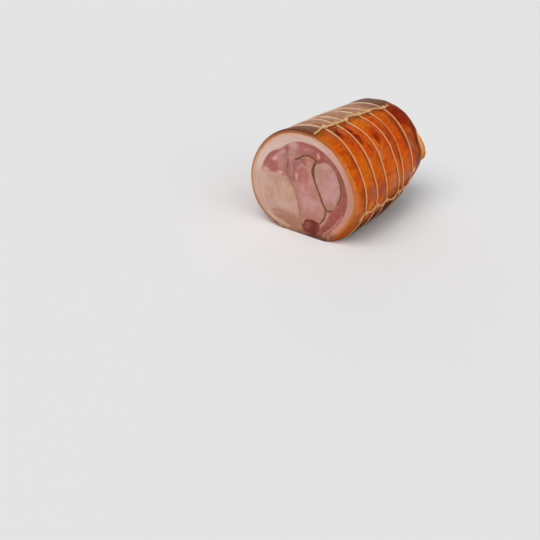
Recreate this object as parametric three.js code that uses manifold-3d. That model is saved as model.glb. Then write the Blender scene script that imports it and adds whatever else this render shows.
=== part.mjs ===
// Rolled pork roast tied with kitchen twine and cut straight across at one end.
// Millimetres, +Z up. The roast lies along Y: the cut face looks to -Y, the rounded end to +Y.
// Sizes are given in the roast's own frame: x to the right of the middle of the cut face, y back from it,
// z up from the surface that the roast rests on. Angles turn about the roast's middle line, from +X to +Z.

import * as THREE from "three";
import { mergeVertices } from "three/addons/utils/BufferGeometryUtils.js";
import { ParametricGeometry } from "three/addons/geometries/ParametricGeometry.js";
import Module from "manifold-3d";

const wasm = await Module();
wasm.setup();

// Driving sizes of the roast
const LENGTH = 228;
const MIDDLE_HEIGHT = 62;
const FACE_RADII = [76.4, 70.5, 69.7, 70.4, 73, 74.6, 76.4, 74.9, 68.1, 62.6, 70.5, 72.4];
const END_LENGTH = 50;
const END_POWER = 3.8;
const END_LIFT = 3;
const UNEVENNESS = 0.5;
const FIT_GAP = 0.3;

// Swelling of the lower right side: it grows and fades between these angles and distances from the cut
const SAG = { depth: 11, angles: [-130, -80, -32, 22], distances: [-14, 26, 120, 215], turnsInward: 0.15 };

// The box round the whole roast is centred on the origin by this shift of its middle line
const MIDDLE_X = -3.82;

// Twine: each ring's distance from the cut at four stations round the roast
const TWINE_RADIUS = 1.2;
const TWINE_SIDES = 5;
const RINGS = [
  { side: 21, shoulder: 26, top: 30, left: 27 },
  { side: 50, shoulder: 54, top: 56, left: 60 },
  { side: 77, shoulder: 84, top: 79, left: 75 },
  { side: 113, shoulder: 120, top: 113, left: 113 },
  { side: 128, shoulder: 139, top: 137, left: 132 },
  { side: 163, shoulder: 170, top: 173, left: 169 },
];
const STATIONS = { side: -5, shoulder: 32, top: 80, left: 112, back: 230, under: 320 };

// Relief of the skin between the rings, measured from the smooth outline
const GROOVE_FLOOR = -1.6;
const GROOVE_SHOULDER = -0.2;
const CREST = 0.9;
const GROOVE_HALF_FLOOR = 1.75;
const GROOVE_HALF_WIDTH = 3.6;
const FLOOR_CLEARANCE = 0.2;
const GROOVE_HEADROOM = 2 * TWINE_RADIUS + FIT_GAP + FLOOR_CLEARANCE;
const WIDE_SPAN = 25;
const WIDE_SPAN_ROWS = [0.3, 0.7];
const NARROW_SPAN_ROWS = [0.5];
const COLUMNS = 48;
const END_STEPS = [0.12, 0.32, 0.52, 0.7, 0.83, 0.92, 0.975];

// Lengthwise strings: angle and distance from the cut where each is pinned down
const TOP_STRING = [
  [79, 1],
  [79.5, 11],
  [81, 20],
  [82, 30],
  [80.5, 45],
  [81, 56],
  [80, 66],
  [80, 79],
  [83, 92],
  [81, 104],
  [79.5, 113],
  [78, 124],
  [78, 137],
  [77.5, 152],
  [74.5, 164],
  [74, 173],
  [74, 182],
];
const SIDE_STRING = [
  [-17, 13],
  [-12.5, 21],
  [-14, 35],
  [-12, 50],
  [-14.5, 63],
  [-13, 77],
  [-16, 96],
  [-13, 113],
  [-14.5, 122],
  [-13, 129],
  [-14, 142],
  [-12, 152],
  [-8.5, 158],
  [-3, 163.5],
  [-1, 169],
];
const STRING_STEPS = 52;
const STRING_CLEARANCE = TWINE_RADIUS + FIT_GAP + 0.15;
const STRING_OVER_RING = 1.5;
const KNOT_RADIUS = 2.3;
const KNOT_STRETCH = 1.5;
const FIRST_KNOT_RADIUS = 2.9;

// Loose lip of skin at the far end, on the right
const LIP = { angle: 14.5, reach: 17, distance: 205, width: 10, thickness: 1.8, rise: 2.6, slant: 0.34 };

// Outlines on the cut face, x and z of the points that the edges bend through
const CAVITY = [
  [-10, 118],
  [10, 118.5],
  [30, 112],
  [50, 96],
  [61, 78],
  [66, 58],
  [62, 38],
  [52, 21],
  [40, 9],
  [25, 4.8],
  [5, 4.7],
  [-15, 5],
  [-35, 11],
  [-50, 24],
  [-60, 45],
  [-62, 63],
  [-57, 82],
  [-47, 97],
  [-32, 105],
  [-22, 112.5],
];
const LOIN = [
  [-72, 76],
  [-50, 76],
  [-36, 76],
  [-22, 72],
  [-13, 64.5],
  [-7, 56],
  [-2, 44],
  [1, 32],
  [4, 20],
  [6.5, 6],
  [5, -3],
  [-30, -3],
  [-60, 8],
  [-74, 40],
];
const CORNER_MUSCLE = [
  [-68, 72],
  [-66, 92],
  [-50, 108],
  [-34, 114],
  [-25, 113],
  [-22, 99],
  [-21, 88],
  [-22, 76],
  [-20, 70.5],
  [-32, 71.5],
  [-46, 71],
];
const OVAL_MUSCLE = [
  [18, 93],
  [26, 99.5],
  [35, 101],
  [43, 96],
  [50, 86],
  [55, 74],
  [55, 62],
  [51, 50],
  [44, 43],
  [37, 43],
  [31, 56],
  [24, 68],
  [16, 83],
];
const BOTTOM_MUSCLE = [
  [7, -3],
  [7, 13],
  [10, 21],
  [17, 23.6],
  [25, 23.3],
  [31, 20.5],
  [31.5, 13],
  [27, 5],
  [23, -3],
];
const TOP_MUSCLE = [
  [-3, 97.5],
  [4, 103.5],
  [13, 102.5],
  [17.5, 98.5],
  [15, 92.5],
  [7, 90.8],
  [0, 92.6],
];
const MIDDLE_MUSCLE = [
  [-20, 67],
  [-22, 80],
  [-21, 98],
  [-12, 99.5],
  [-2, 98],
  [2, 92],
  [14, 92],
  [17, 84],
  [22, 68],
  [32, 50],
  [38, 41],
  [37, 33],
  [34.5, 26],
  [29, 17],
  [16, 15],
  [6, 14],
  [-4, 24],
  [-10, 44],
  [-17, 60],
];

// Herb seams: x, z and half the thickness along each
const CENTRE_SEAM = [
  [19, 100.5, 1.2],
  [16.5, 93, 1.6],
  [15.5, 86, 2.3],
  [20, 73, 1.3],
  [26, 62, 1.1],
  [33, 48.5, 1.3],
  [38, 41.5, 1.9],
  [37.5, 33, 1.3],
  [35, 27, 1.2],
  [30.5, 20.5, 0.8],
];
const SEAM_SPUR = [
  [38, 41.6, 1.6],
  [42.5, 41.2, 1.1],
  [46.5, 43, 0.7],
];
const SEAM_ARCH = [
  [-10.5, 96, 0.8],
  [-5, 98.2, 1.2],
  [0, 102.2, 1.2],
  [6, 104.2, 1.3],
  [13, 103.2, 1.2],
  [19, 100.5, 1.2],
  [24, 100.2, 0.8],
];
const RIGHT_SEAM = [
  [33, 102.4, 0.8],
  [42, 98.3, 1.2],
  [49.5, 89.5, 1.3],
  [54.5, 79, 1.5],
  [56.5, 69, 1.5],
  [56, 61, 1.3],
  [53, 53.5, 0.8],
];
const LEFT_SEAM = [
  [-24, 108, 0.9],
  [-22, 100, 1.4],
  [-20.8, 90, 1.4],
  [-22, 78, 1.5],
  [-18, 70, 1],
];

const OUTLINE_POINTS = 36;
const SEAM_POINTS = 12;
const PAST_END = 8;

const { smoothstep, lerp, degToRad, euclideanModulo } = THREE.MathUtils;

// Cubic curve through evenly spaced values that run round in a ring
function cubicRing(values, place) {
  const index = Math.floor(place);
  const f = place - index;
  const [a, b, c, d] = [-1, 0, 1, 2].map((k) => values[euclideanModulo(index + k, values.length)]);
  return b + 0.5 * f * (c - a + f * (2 * a - 5 * b + 4 * c - d + f * (3 * (b - c) + d - a)));
}

function faceRadius(angle) {
  return cubicRing(FACE_RADII, (euclideanModulo(angle, 360) * FACE_RADII.length) / 360);
}

// Behind the cut the lower right side sags outwards, fading towards the far end
function sag(angle, y) {
  const signed = euclideanModulo(angle + 180, 360) - 180;
  const [foot, low, high, brow] = SAG.angles;
  const [start, full, fade, end] = SAG.distances;
  const around = smoothstep(signed, foot, low) * (1 - smoothstep(signed, high, brow));
  const along = smoothstep(y, start, full) * (1 - (1 + SAG.turnsInward) * smoothstep(y, fade, end));
  return SAG.depth * around * along;
}

function unevenness(angle, y) {
  const a = degToRad(angle);
  const waves = Math.sin(2 * a + y / 37) + 0.6 * Math.sin(5 * a - y / 23 + 1) - 0.5 * Math.sin(3 * a + 2);
  return UNEVENNESS * waves * smoothstep(y, 0, 20);
}

function endShrink(y) {
  const t = Math.max(0, (y - (LENGTH - END_LENGTH)) / END_LENGTH);
  return Math.max(0, 1 - t ** END_POWER) ** (1 / END_POWER);
}

// A place on the skin; relief is the height above the smooth outline, and nothing goes below the floor
function skinPoint(angle, y, relief, floor = 0) {
  const a = degToRad(angle);
  const radius = faceRadius(angle) + sag(angle, y) + unevenness(angle, y) + relief;
  const shrink = endShrink(y);
  const z = Math.max(MIDDLE_HEIGHT + radius * Math.sin(a), floor);
  const lift = END_LIFT * Math.max(0, (y - (LENGTH - END_LENGTH)) / END_LENGTH);
  return new THREE.Vector3(
    radius * Math.cos(a) * shrink,
    y,
    MIDDLE_HEIGHT + (z - MIDDLE_HEIGHT) * shrink + lift,
  );
}

// Distance of a ring from the cut at an angle, eased from station to station
function ringDistance(ring, angle) {
  const stops = [
    [STATIONS.side, ring.side],
    [STATIONS.shoulder, ring.shoulder],
    [STATIONS.top, ring.top],
    [STATIONS.left, ring.left],
    [STATIONS.back, ring.left],
    [STATIONS.under, ring.side],
    [STATIONS.side + 360, ring.side],
  ];
  const turned = STATIONS.side + euclideanModulo(angle - STATIONS.side, 360);
  const next = stops.findIndex(([station]) => station > turned);
  const [fromAngle, fromValue] = stops[next - 1];
  const [toAngle, toValue] = stops[next];
  return lerp(fromValue, toValue, smoothstep(turned, fromAngle, toAngle));
}

// Rows of the skin from the cut to the far end: where each runs, its relief and its lowest height
function skinRows() {
  const rows = [{ y: () => 0, relief: 0, floor: 0 }];
  const ringY = (i) => (i < 0 ? () => -GROOVE_HALF_WIDTH : (angle) => ringDistance(RINGS[i], angle));
  for (let i = 0; i < RINGS.length; i++) {
    const before = ringY(i - 1);
    const here = ringY(i);
    const span = RINGS[i].top - (i ? RINGS[i - 1].top : 0);
    for (const part of span > WIDE_SPAN ? WIDE_SPAN_ROWS : NARROW_SPAN_ROWS)
      rows.push({
        y: (angle) => lerp(before(angle) + GROOVE_HALF_WIDTH, here(angle) - GROOVE_HALF_WIDTH, part),
        relief: CREST * Math.min(1, span / WIDE_SPAN),
        floor: 0,
      });
    for (const [step, relief, floor] of [
      [-GROOVE_HALF_WIDTH, GROOVE_SHOULDER, 0],
      [-GROOVE_HALF_FLOOR, GROOVE_FLOOR, GROOVE_HEADROOM],
      [GROOVE_HALF_FLOOR, GROOVE_FLOOR, GROOVE_HEADROOM],
      [GROOVE_HALF_WIDTH, GROOVE_SHOULDER, 0],
    ])
      rows.push({ y: (angle) => here(angle) + step, relief, floor });
  }
  const last = ringY(RINGS.length - 1);
  for (const part of END_STEPS)
    rows.push({
      y: (angle) => lerp(last(angle) + GROOVE_HALF_WIDTH, LENGTH, part),
      relief: CREST * (1 - 2 * part),
      floor: 0,
    });
  return rows;
}

const ROWS = skinRows();

// Height of the skin above its smooth outline at a place, read off the rows either side
function reliefAt(angle, y) {
  const next = ROWS.findIndex((row) => row.y(angle) >= y);
  const [a, b] = [ROWS[next - 1], ROWS[next]];
  return lerp(a.relief, b.relief, (y - a.y(angle)) / (b.y(angle) - a.y(angle)));
}

// Solid of a closed surface: vertices at one place are merged and empty triangles dropped
function toSolid(geometry) {
  geometry.deleteAttribute("normal");
  geometry.deleteAttribute("uv");
  const merged = mergeVertices(geometry, 1e-4);
  const index = merged.index.array;
  const kept = [];
  for (let i = 0; i < index.length; i += 3) {
    const [a, b, c] = index.subarray(i, i + 3);
    if (a !== b && b !== c && c !== a) kept.push(a, b, c);
  }
  return new wasm.Manifold(
    new wasm.Mesh({
      numProp: 3,
      vertProperties: merged.attributes.position.array,
      triVerts: Uint32Array.from(kept),
    }),
  );
}

function join(solids) {
  return solids.reduce((sum, solid) => sum.add(solid));
}

function largestBody(solid) {
  return solid.decompose().reduce((best, body) => (body.volume() > best.volume() ? body : best));
}

// The whole roast without its twine, closed by the flat cut and the rounded end
function wholeBody() {
  const stacks = ROWS.length + 1;
  const surface = (u, v, target) => {
    const row = Math.round(v * stacks);
    const angle = -360 * u;
    if (row === 0) target.set(0, 0, MIDDLE_HEIGHT);
    else if (row === stacks) target.set(0, LENGTH, MIDDLE_HEIGHT + END_LIFT);
    else target.copy(skinPoint(angle, ROWS[row - 1].y(angle), ROWS[row - 1].relief, ROWS[row - 1].floor));
  };
  return toSolid(new ParametricGeometry(surface, COLUMNS, stacks));
}

// Lip of loose skin: a flattened ball bent round the roast and tipped up at its far edge
function looseLip() {
  const ball = new THREE.SphereGeometry(1, 14, 8);
  const place = ball.attributes.position;
  for (let i = 0; i < place.count; i++) {
    const across = place.getY(i);
    const angle = LIP.angle + LIP.reach * place.getZ(i);
    const rise = LIP.rise + LIP.thickness * place.getX(i) + LIP.slant * LIP.width * across;
    const spot = skinPoint(angle, LIP.distance + LIP.width * across, rise);
    place.setXYZ(i, spot.x, spot.y, spot.z);
  }
  return toSolid(ball);
}

// Points round a closed outline, bent through its corners and moved outwards by grow
function smoothOutline(corners, grow) {
  const curve = new THREE.CatmullRomCurve3(
    corners.map(([x, z]) => new THREE.Vector3(x, z, 0)),
    true,
    "centripetal",
  );
  return growOutline(
    curve.getSpacedPoints(OUTLINE_POINTS).slice(0, -1).map((p) => new THREE.Vector2(p.x, p.y)),
    grow,
  );
}

function growOutline(points, grow) {
  const turn = THREE.ShapeUtils.isClockWise(points) ? -1 : 1;
  return points.map((point, i) => {
    const before = points.at(i - 1);
    const after = points[(i + 1) % points.length];
    const along = after.clone().sub(before).normalize();
    return new THREE.Vector2(point.x + grow * turn * along.y, point.y - grow * turn * along.x);
  });
}

// Outline of a seam: both sides of its middle line, with a point at each end
function seamOutline(stops, grow) {
  const middle = new THREE.CatmullRomCurve3(stops.map(([x, z, half]) => new THREE.Vector3(x, z, half)));
  const spots = middle.getPoints(SEAM_POINTS);
  const sides = [1, -1].map((side) =>
    spots.map((spot, i) => {
      const along = spots[Math.min(i + 1, SEAM_POINTS)].clone().sub(spots[Math.max(i - 1, 0)]);
      const sideways = new THREE.Vector2(-along.y, along.x).normalize();
      return new THREE.Vector2(spot.x, spot.y).addScaledVector(sideways, side * (spot.z + grow));
    }),
  );
  const tip = (end, inner) => {
    const out = new THREE.Vector2(end.x - inner.x, end.y - inner.y).normalize();
    return new THREE.Vector2(end.x, end.y).addScaledVector(out, end.z + grow);
  };
  return [
    tip(spots[0], spots[1]),
    ...sides[0],
    tip(spots[SEAM_POINTS], spots[SEAM_POINTS - 1]),
    ...sides[1].reverse(),
  ];
}

// Straight run of an outline from the cut, or from before it, to past the far end
function prism(outline, start) {
  const depth = LENGTH + PAST_END - start;
  const geometry = new THREE.ExtrudeGeometry(new THREE.Shape(outline), { depth, bevelEnabled: false });
  geometry.rotateX(Math.PI / 2);
  geometry.translate(0, LENGTH + PAST_END, 0);
  return toSolid(geometry);
}

const muscle = (corners) => (grow, start) => prism(smoothOutline(corners, grow), start);
const seam = (...lines) => (grow, start) => join(lines.map((line) => prism(seamOutline(line, grow), start)));

// Route through given points, one step of the tube to each
class Route extends THREE.Curve {
  constructor(points, closed) {
    super();
    this.points = points;
    this.steps = closed ? points.length : points.length - 1;
  }

  getPoint(t, target = new THREE.Vector3()) {
    const place = t * this.steps;
    const i = Math.min(Math.floor(place), this.steps - 1);
    const next = this.points[(i + 1) % this.points.length];
    return target.lerpVectors(this.points[i], next, place - i);
  }

  getPointAt(t, target) {
    return this.getPoint(t, target);
  }

  getTangentAt(t, target = new THREE.Vector3()) {
    const step = 1 / this.steps;
    const closed = this.steps === this.points.length;
    const before = closed ? euclideanModulo(t - step, 1) : Math.max(0, t - step);
    const after = closed ? euclideanModulo(t + step, 1) : Math.min(1, t + step);
    return target.subVectors(this.getPoint(after), this.getPoint(before)).normalize();
  }
}

// Ring of twine in its groove
function ringTube(ring) {
  const points = [];
  for (let i = 0; i < COLUMNS; i++) {
    const angle = (360 * i) / COLUMNS;
    const spot = skinPoint(angle, ringDistance(ring, angle), GROOVE_FLOOR, GROOVE_HEADROOM);
    const out = new THREE.Vector3(Math.cos(degToRad(angle)), 0, Math.sin(degToRad(angle)));
    points.push(spot.addScaledVector(out, TWINE_RADIUS + FIT_GAP));
  }
  return toSolid(new THREE.TubeGeometry(new Route(points, true), COLUMNS, TWINE_RADIUS, TWINE_SIDES, true));
}

// Lengthwise string lying on the skin and over the rings
function lengthwiseString(stops) {
  const pinned = new THREE.CatmullRomCurve3(stops.map(([angle, y]) => new THREE.Vector3(angle, y, 0)));
  const points = pinned.getSpacedPoints(STRING_STEPS).map((p) => {
    return skinPoint(p.x, p.y, Math.max(reliefAt(p.x, p.y) + STRING_CLEARANCE, STRING_OVER_RING));
  });
  const middle = new Route(points, false);
  const corners = Array.from({ length: TWINE_SIDES }, (_, k) => {
    const turn = (2 * Math.PI * k) / TWINE_SIDES;
    return new THREE.Vector2(TWINE_RADIUS * Math.cos(turn), TWINE_RADIUS * Math.sin(turn));
  });
  const section = new THREE.Shape(corners);
  return toSolid(
    new THREE.ExtrudeGeometry(section, { steps: STRING_STEPS, extrudePath: middle, bevelEnabled: false }),
  );
}

// Knot where a string crosses a ring, drawn out along the ring
function knot(angle, y, radius) {
  const ball = new THREE.IcosahedronGeometry(radius, 1);
  ball.scale(KNOT_STRETCH, 1, 1);
  ball.rotateY(degToRad(90 - angle));
  const spot = skinPoint(angle, y, STRING_OVER_RING + radius / 2);
  return toSolid(ball.translate(spot.x, spot.y, spot.z));
}

// Angle of a lengthwise string where it meets a ring
function crossingAngle(stops, ring) {
  const nearest = (best, stop) => {
    const miss = Math.abs(stop[1] - ringDistance(ring, stop[0]));
    return miss < best.miss ? { miss, angle: stop[0] } : best;
  };
  return stops.reduce(nearest, { miss: Infinity, angle: 0 }).angle;
}

function twine() {
  const pieces = RINGS.map(ringTube);
  for (const stops of [TOP_STRING, SIDE_STRING]) {
    pieces.push(lengthwiseString(stops));
    RINGS.forEach((ring, i) => {
      const angle = crossingAngle(stops, ring);
      const big = i === 0 && stops === TOP_STRING;
      pieces.push(knot(angle, ringDistance(ring, angle), big ? FIRST_KNOT_RADIUS : KNOT_RADIUS));
    });
  }
  return join(pieces);
}

function namedMesh(name, solid, color, roughness) {
  const { numProp, vertProperties, triVerts } = solid.getMesh();
  const geometry = new THREE.BufferGeometry();
  geometry.setAttribute("position", new THREE.BufferAttribute(vertProperties, numProp));
  geometry.setIndex(new THREE.BufferAttribute(triVerts, 1));
  geometry.computeVertexNormals();
  const mesh = new THREE.Mesh(geometry, new THREE.MeshStandardMaterial({ color, roughness, metalness: 0 }));
  mesh.name = name;
  return mesh;
}

// Inner pieces in the order in which they are laid out: each is trimmed by those before it
const INNER = [
  ["herb_seam_center", seam(CENTRE_SEAM, SEAM_SPUR, SEAM_ARCH), "#6b5526", 0.7],
  ["herb_seam_right", seam(RIGHT_SEAM), "#75602f", 0.7],
  ["herb_seam_left", seam(LEFT_SEAM), "#855c43", 0.7],
  ["bottom_muscle", muscle(BOTTOM_MUSCLE), "#7b3630", 0.5],
  ["top_muscle", muscle(TOP_MUSCLE), "#a55c58", 0.5],
  ["oval_muscle", muscle(OVAL_MUSCLE), "#bb8981", 0.5],
  ["corner_muscle", muscle(CORNER_MUSCLE), "#a86a66", 0.5],
  ["loin", muscle(LOIN), "#c09c86", 0.5],
  ["middle_muscle", muscle(MIDDLE_MUSCLE), "#bd857c", 0.5],
];

function buildRoast() {
  const roast = new THREE.Group();
  const body = wholeBody();
  const cavity = (grow, start) => prism(smoothOutline(CAVITY, grow), start);
  const inside = body.intersect(cavity(-FIT_GAP, 0));
  const skin = body.subtract(cavity(0, -PAST_END)).add(looseLip());
  roast.add(namedMesh("rind_and_fat", skin, "#c8641c", 0.4));
  const taken = [];
  for (const [name, shape, color, roughness] of INNER) {
    const trimmed = taken.reduce((rest, other) => rest.subtract(other), shape(0, 0).intersect(inside));
    roast.add(namedMesh(name, largestBody(trimmed), color, roughness));
    taken.push(shape(FIT_GAP, -PAST_END));
  }
  const band = taken.reduce((rest, other) => rest.subtract(other), inside);
  roast.add(namedMesh("belly_band", largestBody(band), "#a5605a", 0.5));
  roast.add(namedMesh("twine", twine(), "#e0b07a", 0.8));
  roast.position.set(MIDDLE_X, -LENGTH / 2, 0);
  return roast;
}

const porchetta = new THREE.Group();
porchetta.add(buildRoast());

export default porchetta;
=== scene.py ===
# Rolled pork roast tied with kitchen twine and cut straight across at one end.
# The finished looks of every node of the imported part, in its own frame.
import math
import random

import bpy
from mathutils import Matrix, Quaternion, Vector, noise


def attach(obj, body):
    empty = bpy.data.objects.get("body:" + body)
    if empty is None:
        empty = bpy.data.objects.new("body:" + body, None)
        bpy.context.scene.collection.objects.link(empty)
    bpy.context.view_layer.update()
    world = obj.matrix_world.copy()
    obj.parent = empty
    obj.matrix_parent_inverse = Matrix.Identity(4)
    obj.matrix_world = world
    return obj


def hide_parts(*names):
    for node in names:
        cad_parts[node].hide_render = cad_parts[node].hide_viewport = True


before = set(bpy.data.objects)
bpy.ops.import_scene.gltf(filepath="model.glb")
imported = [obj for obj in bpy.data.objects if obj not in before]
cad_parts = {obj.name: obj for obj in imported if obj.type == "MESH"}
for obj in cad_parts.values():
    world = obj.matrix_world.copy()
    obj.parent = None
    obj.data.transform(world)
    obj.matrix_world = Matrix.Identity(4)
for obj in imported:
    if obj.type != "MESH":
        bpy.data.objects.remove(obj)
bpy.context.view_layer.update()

# Sizes in millimetres, in the roast's own frame: x to the right of the middle of the cut face,
# y back from it, z up from the floor. Angles in degrees, about the middle line, from +X to +Z
MM = 0.001
LENGTH = 228
MIDDLE_HEIGHT = 62
MIDDLE_X = -3.82
FACE_RADII = (76.4, 70.5, 69.7, 70.4, 73, 74.6, 76.4, 74.9, 68.1, 62.6, 70.5, 72.4)
END_LENGTH = 50
END_POWER = 3.8
END_LIFT = 3
END_STATION = 205
UNEVENNESS = 0.5
SAG_DEPTH = 11
SAG_ANGLES = (-130, -80, -32, 22)
SAG_DISTANCES = (-14, 26, 120, 215)
SAG_TURNS_INWARD = 0.15

# Twine, and each ring's distance from the cut at its side, shoulder, top and left stations
TWINE_RADIUS = 1.2
TWINE_PITCH = 8
FIT_GAP = 0.3
RINGS = (
    (21, 26, 30, 27), (50, 54, 56, 60), (77, 84, 79, 75),
    (113, 120, 113, 113), (128, 139, 137, 132), (163, 170, 173, 169),
)
SIDE, SHOULDER, TOP, LEFT, BACK, UNDER = -5, 32, 80, 112, 230, 320

# Relief of the skin about the smooth outline
GROOVE_FLOOR = -1.6
GROOVE_WALL = 1.1
GROOVE_REACH = 4.7
TWINE_REACH = 20
CREST = 1.0
WIDE_SPAN = 25
FIRST_LINE, LAST_LINE = -4, LENGTH + 16
LUMPS = ((0.55, 17), (0.3, 7))
EDGE_DROP, EDGE_REACH = 0.6, 0.9
CROSSING_HEIGHT, CROSSING_REACH = 2.2, 4.2
FLOOR_CLEARANCE = 0.2
GROOVE_HEADROOM = 2 * TWINE_RADIUS + FIT_GAP + FLOOR_CLEARANCE

# The two long strings: angle and distance from the cut at each stop
TOP_STRING = (
    (79, 1), (79.5, 11), (81, 20), (82, 30), (80.5, 45), (81, 56), (80, 66), (80, 79), (83, 92), (81, 104),
    (79.5, 113), (78, 124), (78, 137), (77.5, 152), (74.5, 164), (74, 173), (74, 182),
)
SIDE_STRING = (
    (-17, 13), (-12.5, 21), (-14, 35), (-12, 50), (-14.5, 63), (-13, 77), (-16, 96), (-13, 113),
    (-14.5, 122), (-13, 129), (-14, 142), (-12, 152), (-8.5, 158), (-3, 163.5), (-1, 169),
)

# Outlines on the cut face
CAVITY = (
    (-10, 118), (10, 118.5), (30, 112), (50, 96), (61, 78), (66, 58), (62, 38), (52, 21), (40, 9),
    (25, 4.8), (5, 4.7), (-15, 5), (-35, 11), (-50, 24), (-60, 45), (-62, 63), (-57, 82), (-47, 97),
    (-32, 105), (-22, 112.5),
)
LOIN = (
    (-72, 76), (-50, 76), (-36, 76), (-22, 72), (-13, 64.5), (-7, 56), (-2, 44), (1, 32), (4, 20),
    (6.5, 6), (5, -3), (-30, -3), (-60, 8), (-74, 40),
)
CORNER_MUSCLE = (
    (-68, 72), (-66, 92), (-50, 108), (-34, 114), (-25, 113), (-22, 99), (-21, 88), (-22, 76),
    (-20, 70.5), (-32, 71.5), (-46, 71),
)
OVAL_MUSCLE = (
    (18, 93), (26, 99.5), (35, 101), (43, 96), (50, 86), (55, 74), (55, 62), (51, 50), (44, 43),
    (37, 43), (31, 56), (24, 68), (16, 83),
)
BOTTOM_MUSCLE = (
    (7, -3), (7, 13), (10, 21), (17, 23.6), (25, 23.3), (31, 20.5),
    (31.5, 13), (27, 5), (23, -3),
)
TOP_MUSCLE = ((-3, 97.5), (4, 103.5), (13, 102.5), (17.5, 98.5), (15, 92.5), (7, 90.8), (0, 92.6))
MIDDLE_MUSCLE = (
    (-20, 67), (-22, 80), (-21, 98), (-12, 99.5), (-2, 98), (2, 92), (14, 92), (17, 84), (22, 68),
    (32, 50), (38, 41), (37, 33), (34.5, 26), (29, 17), (16, 15), (6, 14), (-4, 24), (-10, 44),
    (-17, 60),
)

# Herb seams: x, z and half the thickness along each
CENTER_SEAM = (
    (19, 100.5, 1.2), (16.5, 93, 1.6), (15.5, 86, 2.3), (20, 73, 1.3), (26, 62, 1.1), (33, 48.5, 1.3),
    (38, 41.5, 1.9), (37.5, 33, 1.3), (35, 27, 1.2), (30.5, 20.5, 0.8),
)
SEAM_SPUR = ((38, 41.6, 1.6), (42.5, 41.2, 1.1), (46.5, 43, 0.7))
SEAM_ARCH = (
    (-10.5, 96, 0.8), (-5, 98.2, 1.2), (0, 102.2, 1.2), (6, 104.2, 1.3), (13, 103.2, 1.2),
    (19, 100.5, 1.2), (24, 100.2, 0.8),
)
RIGHT_SEAM = (
    (33, 102.4, 0.8), (42, 98.3, 1.2), (49.5, 89.5, 1.3), (54.5, 79, 1.5), (56.5, 69, 1.5),
    (56, 61, 1.3), (53, 53.5, 0.8),
)
LEFT_SEAM = ((-24, 108, 0.9), (-22, 100, 1.4), (-20.8, 90, 1.4), (-22, 78, 1.5), (-18, 70, 1))
SEAMS = (CENTER_SEAM, SEAM_SPUR, SEAM_ARCH, RIGHT_SEAM, LEFT_SEAM)

# Making: how far runs go past the ends, how closely pieces meet, how finely they are divided
PAST_END = 8
TOUCH = 0.06
RIM = 0.5
FACE_GRID = 3
SEAM_GRID = 1.5
WELD, SKIN_WELD, SLIVER = 0.15, 0.01, 0.1
MUSCLE_STEPS, SEAM_STEPS, STRING_STEPS = 5, 6, 18

# Vertices of the skin: round it, from the cut on, across a groove, and through the fat by depth and share
COLUMNS = 288
FIRST_ROWS = (0, 0.3, 0.9, 1.8)
GROOVE_ROWS = (-4.7, -3.9, -3.1, -2.3, -1.6, -0.8, 0, 0.8, 1.6, 2.3, 3.1, 3.9, 4.7)
ROW_SPACING = 2.2
END_ROWS = 24
FAT_STEPS = (0.5, 1.1, 1.8, 2.6, 3.6, 5, 7, 9.5)
FAT_SHARES = (0.7, 0.85, 1)
FAT_RELIEF = 0.1
MEAT_EDGE_INSET = 0.3
FAR_FROM_MEAT = 20

# The loose lip, and the making of the rings, the knots and the loose fibres
LIP_ANGLE, LIP_HALF_SPAN = 15.5, 16.5
LIP_DISTANCE, LIP_HALF_WIDTH = 201, 9.5
RING_STOPS = 620
STRAND_RADIUS, STRAND_OFFSET = 0.54, 0.5
KNOT_STOPS = 90
KNOT_RADIUS, KNOT_PITCH = 0.95 * TWINE_RADIUS, 6
BIG_KNOT, SMALL_KNOT = 1, 0.72
FIBERS, FIBER_RADIUS = 26, 0.13

random.seed(11)


# Small sums

def smoothstep(value, low, high):
    t = min(1, max(0, (value - low) / (high - low)))
    return t * t * (3 - 2 * t)


def between(a, b, share):
    return a + (b - a) * share


def to_metres(x, y, z):
    return Vector(((x + MIDDLE_X) * MM, (y - LENGTH / 2) * MM, z * MM))


def from_metres(co):
    return co.x / MM - MIDDLE_X, co.y / MM + LENGTH / 2, co.z / MM


def outward(angle):
    return Vector((math.cos(math.radians(angle)), 0, math.sin(math.radians(angle))))


# Shape of the roast

def cubic_ring(values, place):
    """Cubic curve through evenly spaced values that run round in a ring."""
    index = math.floor(place)
    f = place - index
    a, b, c, d = (values[(index + k) % len(values)] for k in (-1, 0, 1, 2))
    return b + 0.5 * f * (c - a + f * (2 * a - 5 * b + 4 * c - d + f * (3 * (b - c) + d - a)))


def sag(angle, y):
    signed = (angle + 180) % 360 - 180
    foot, low, high, brow = SAG_ANGLES
    start, full, fade, end = SAG_DISTANCES
    around = smoothstep(signed, foot, low) * (1 - smoothstep(signed, high, brow))
    along = smoothstep(y, start, full) * (1 - (1 + SAG_TURNS_INWARD) * smoothstep(y, fade, end))
    return SAG_DEPTH * around * along


def unevenness(angle, y):
    a = math.radians(angle)
    waves = math.sin(2 * a + y / 37) + 0.6 * math.sin(5 * a - y / 23 + 1) - 0.5 * math.sin(3 * a + 2)
    return UNEVENNESS * waves * smoothstep(y, 0, 20)


def skin_radius(angle, y):
    base = cubic_ring(FACE_RADII, (angle % 360) * len(FACE_RADII) / 360)
    return base + sag(angle, y) + unevenness(angle, y)


def skin_spot(angle, y, relief, floor=0):
    """A place on the skin; relief is the height above the smooth outline."""
    a = math.radians(angle)
    radius = skin_radius(angle, y) + relief
    t = max(0, (y - (LENGTH - END_LENGTH)) / END_LENGTH)
    shrink = max(0, 1 - t ** END_POWER) ** (1 / END_POWER)
    rise = max(MIDDLE_HEIGHT + radius * math.sin(a), floor) - MIDDLE_HEIGHT
    return Vector((radius * math.cos(a) * shrink, y, MIDDLE_HEIGHT + rise * shrink + END_LIFT * t))


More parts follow.
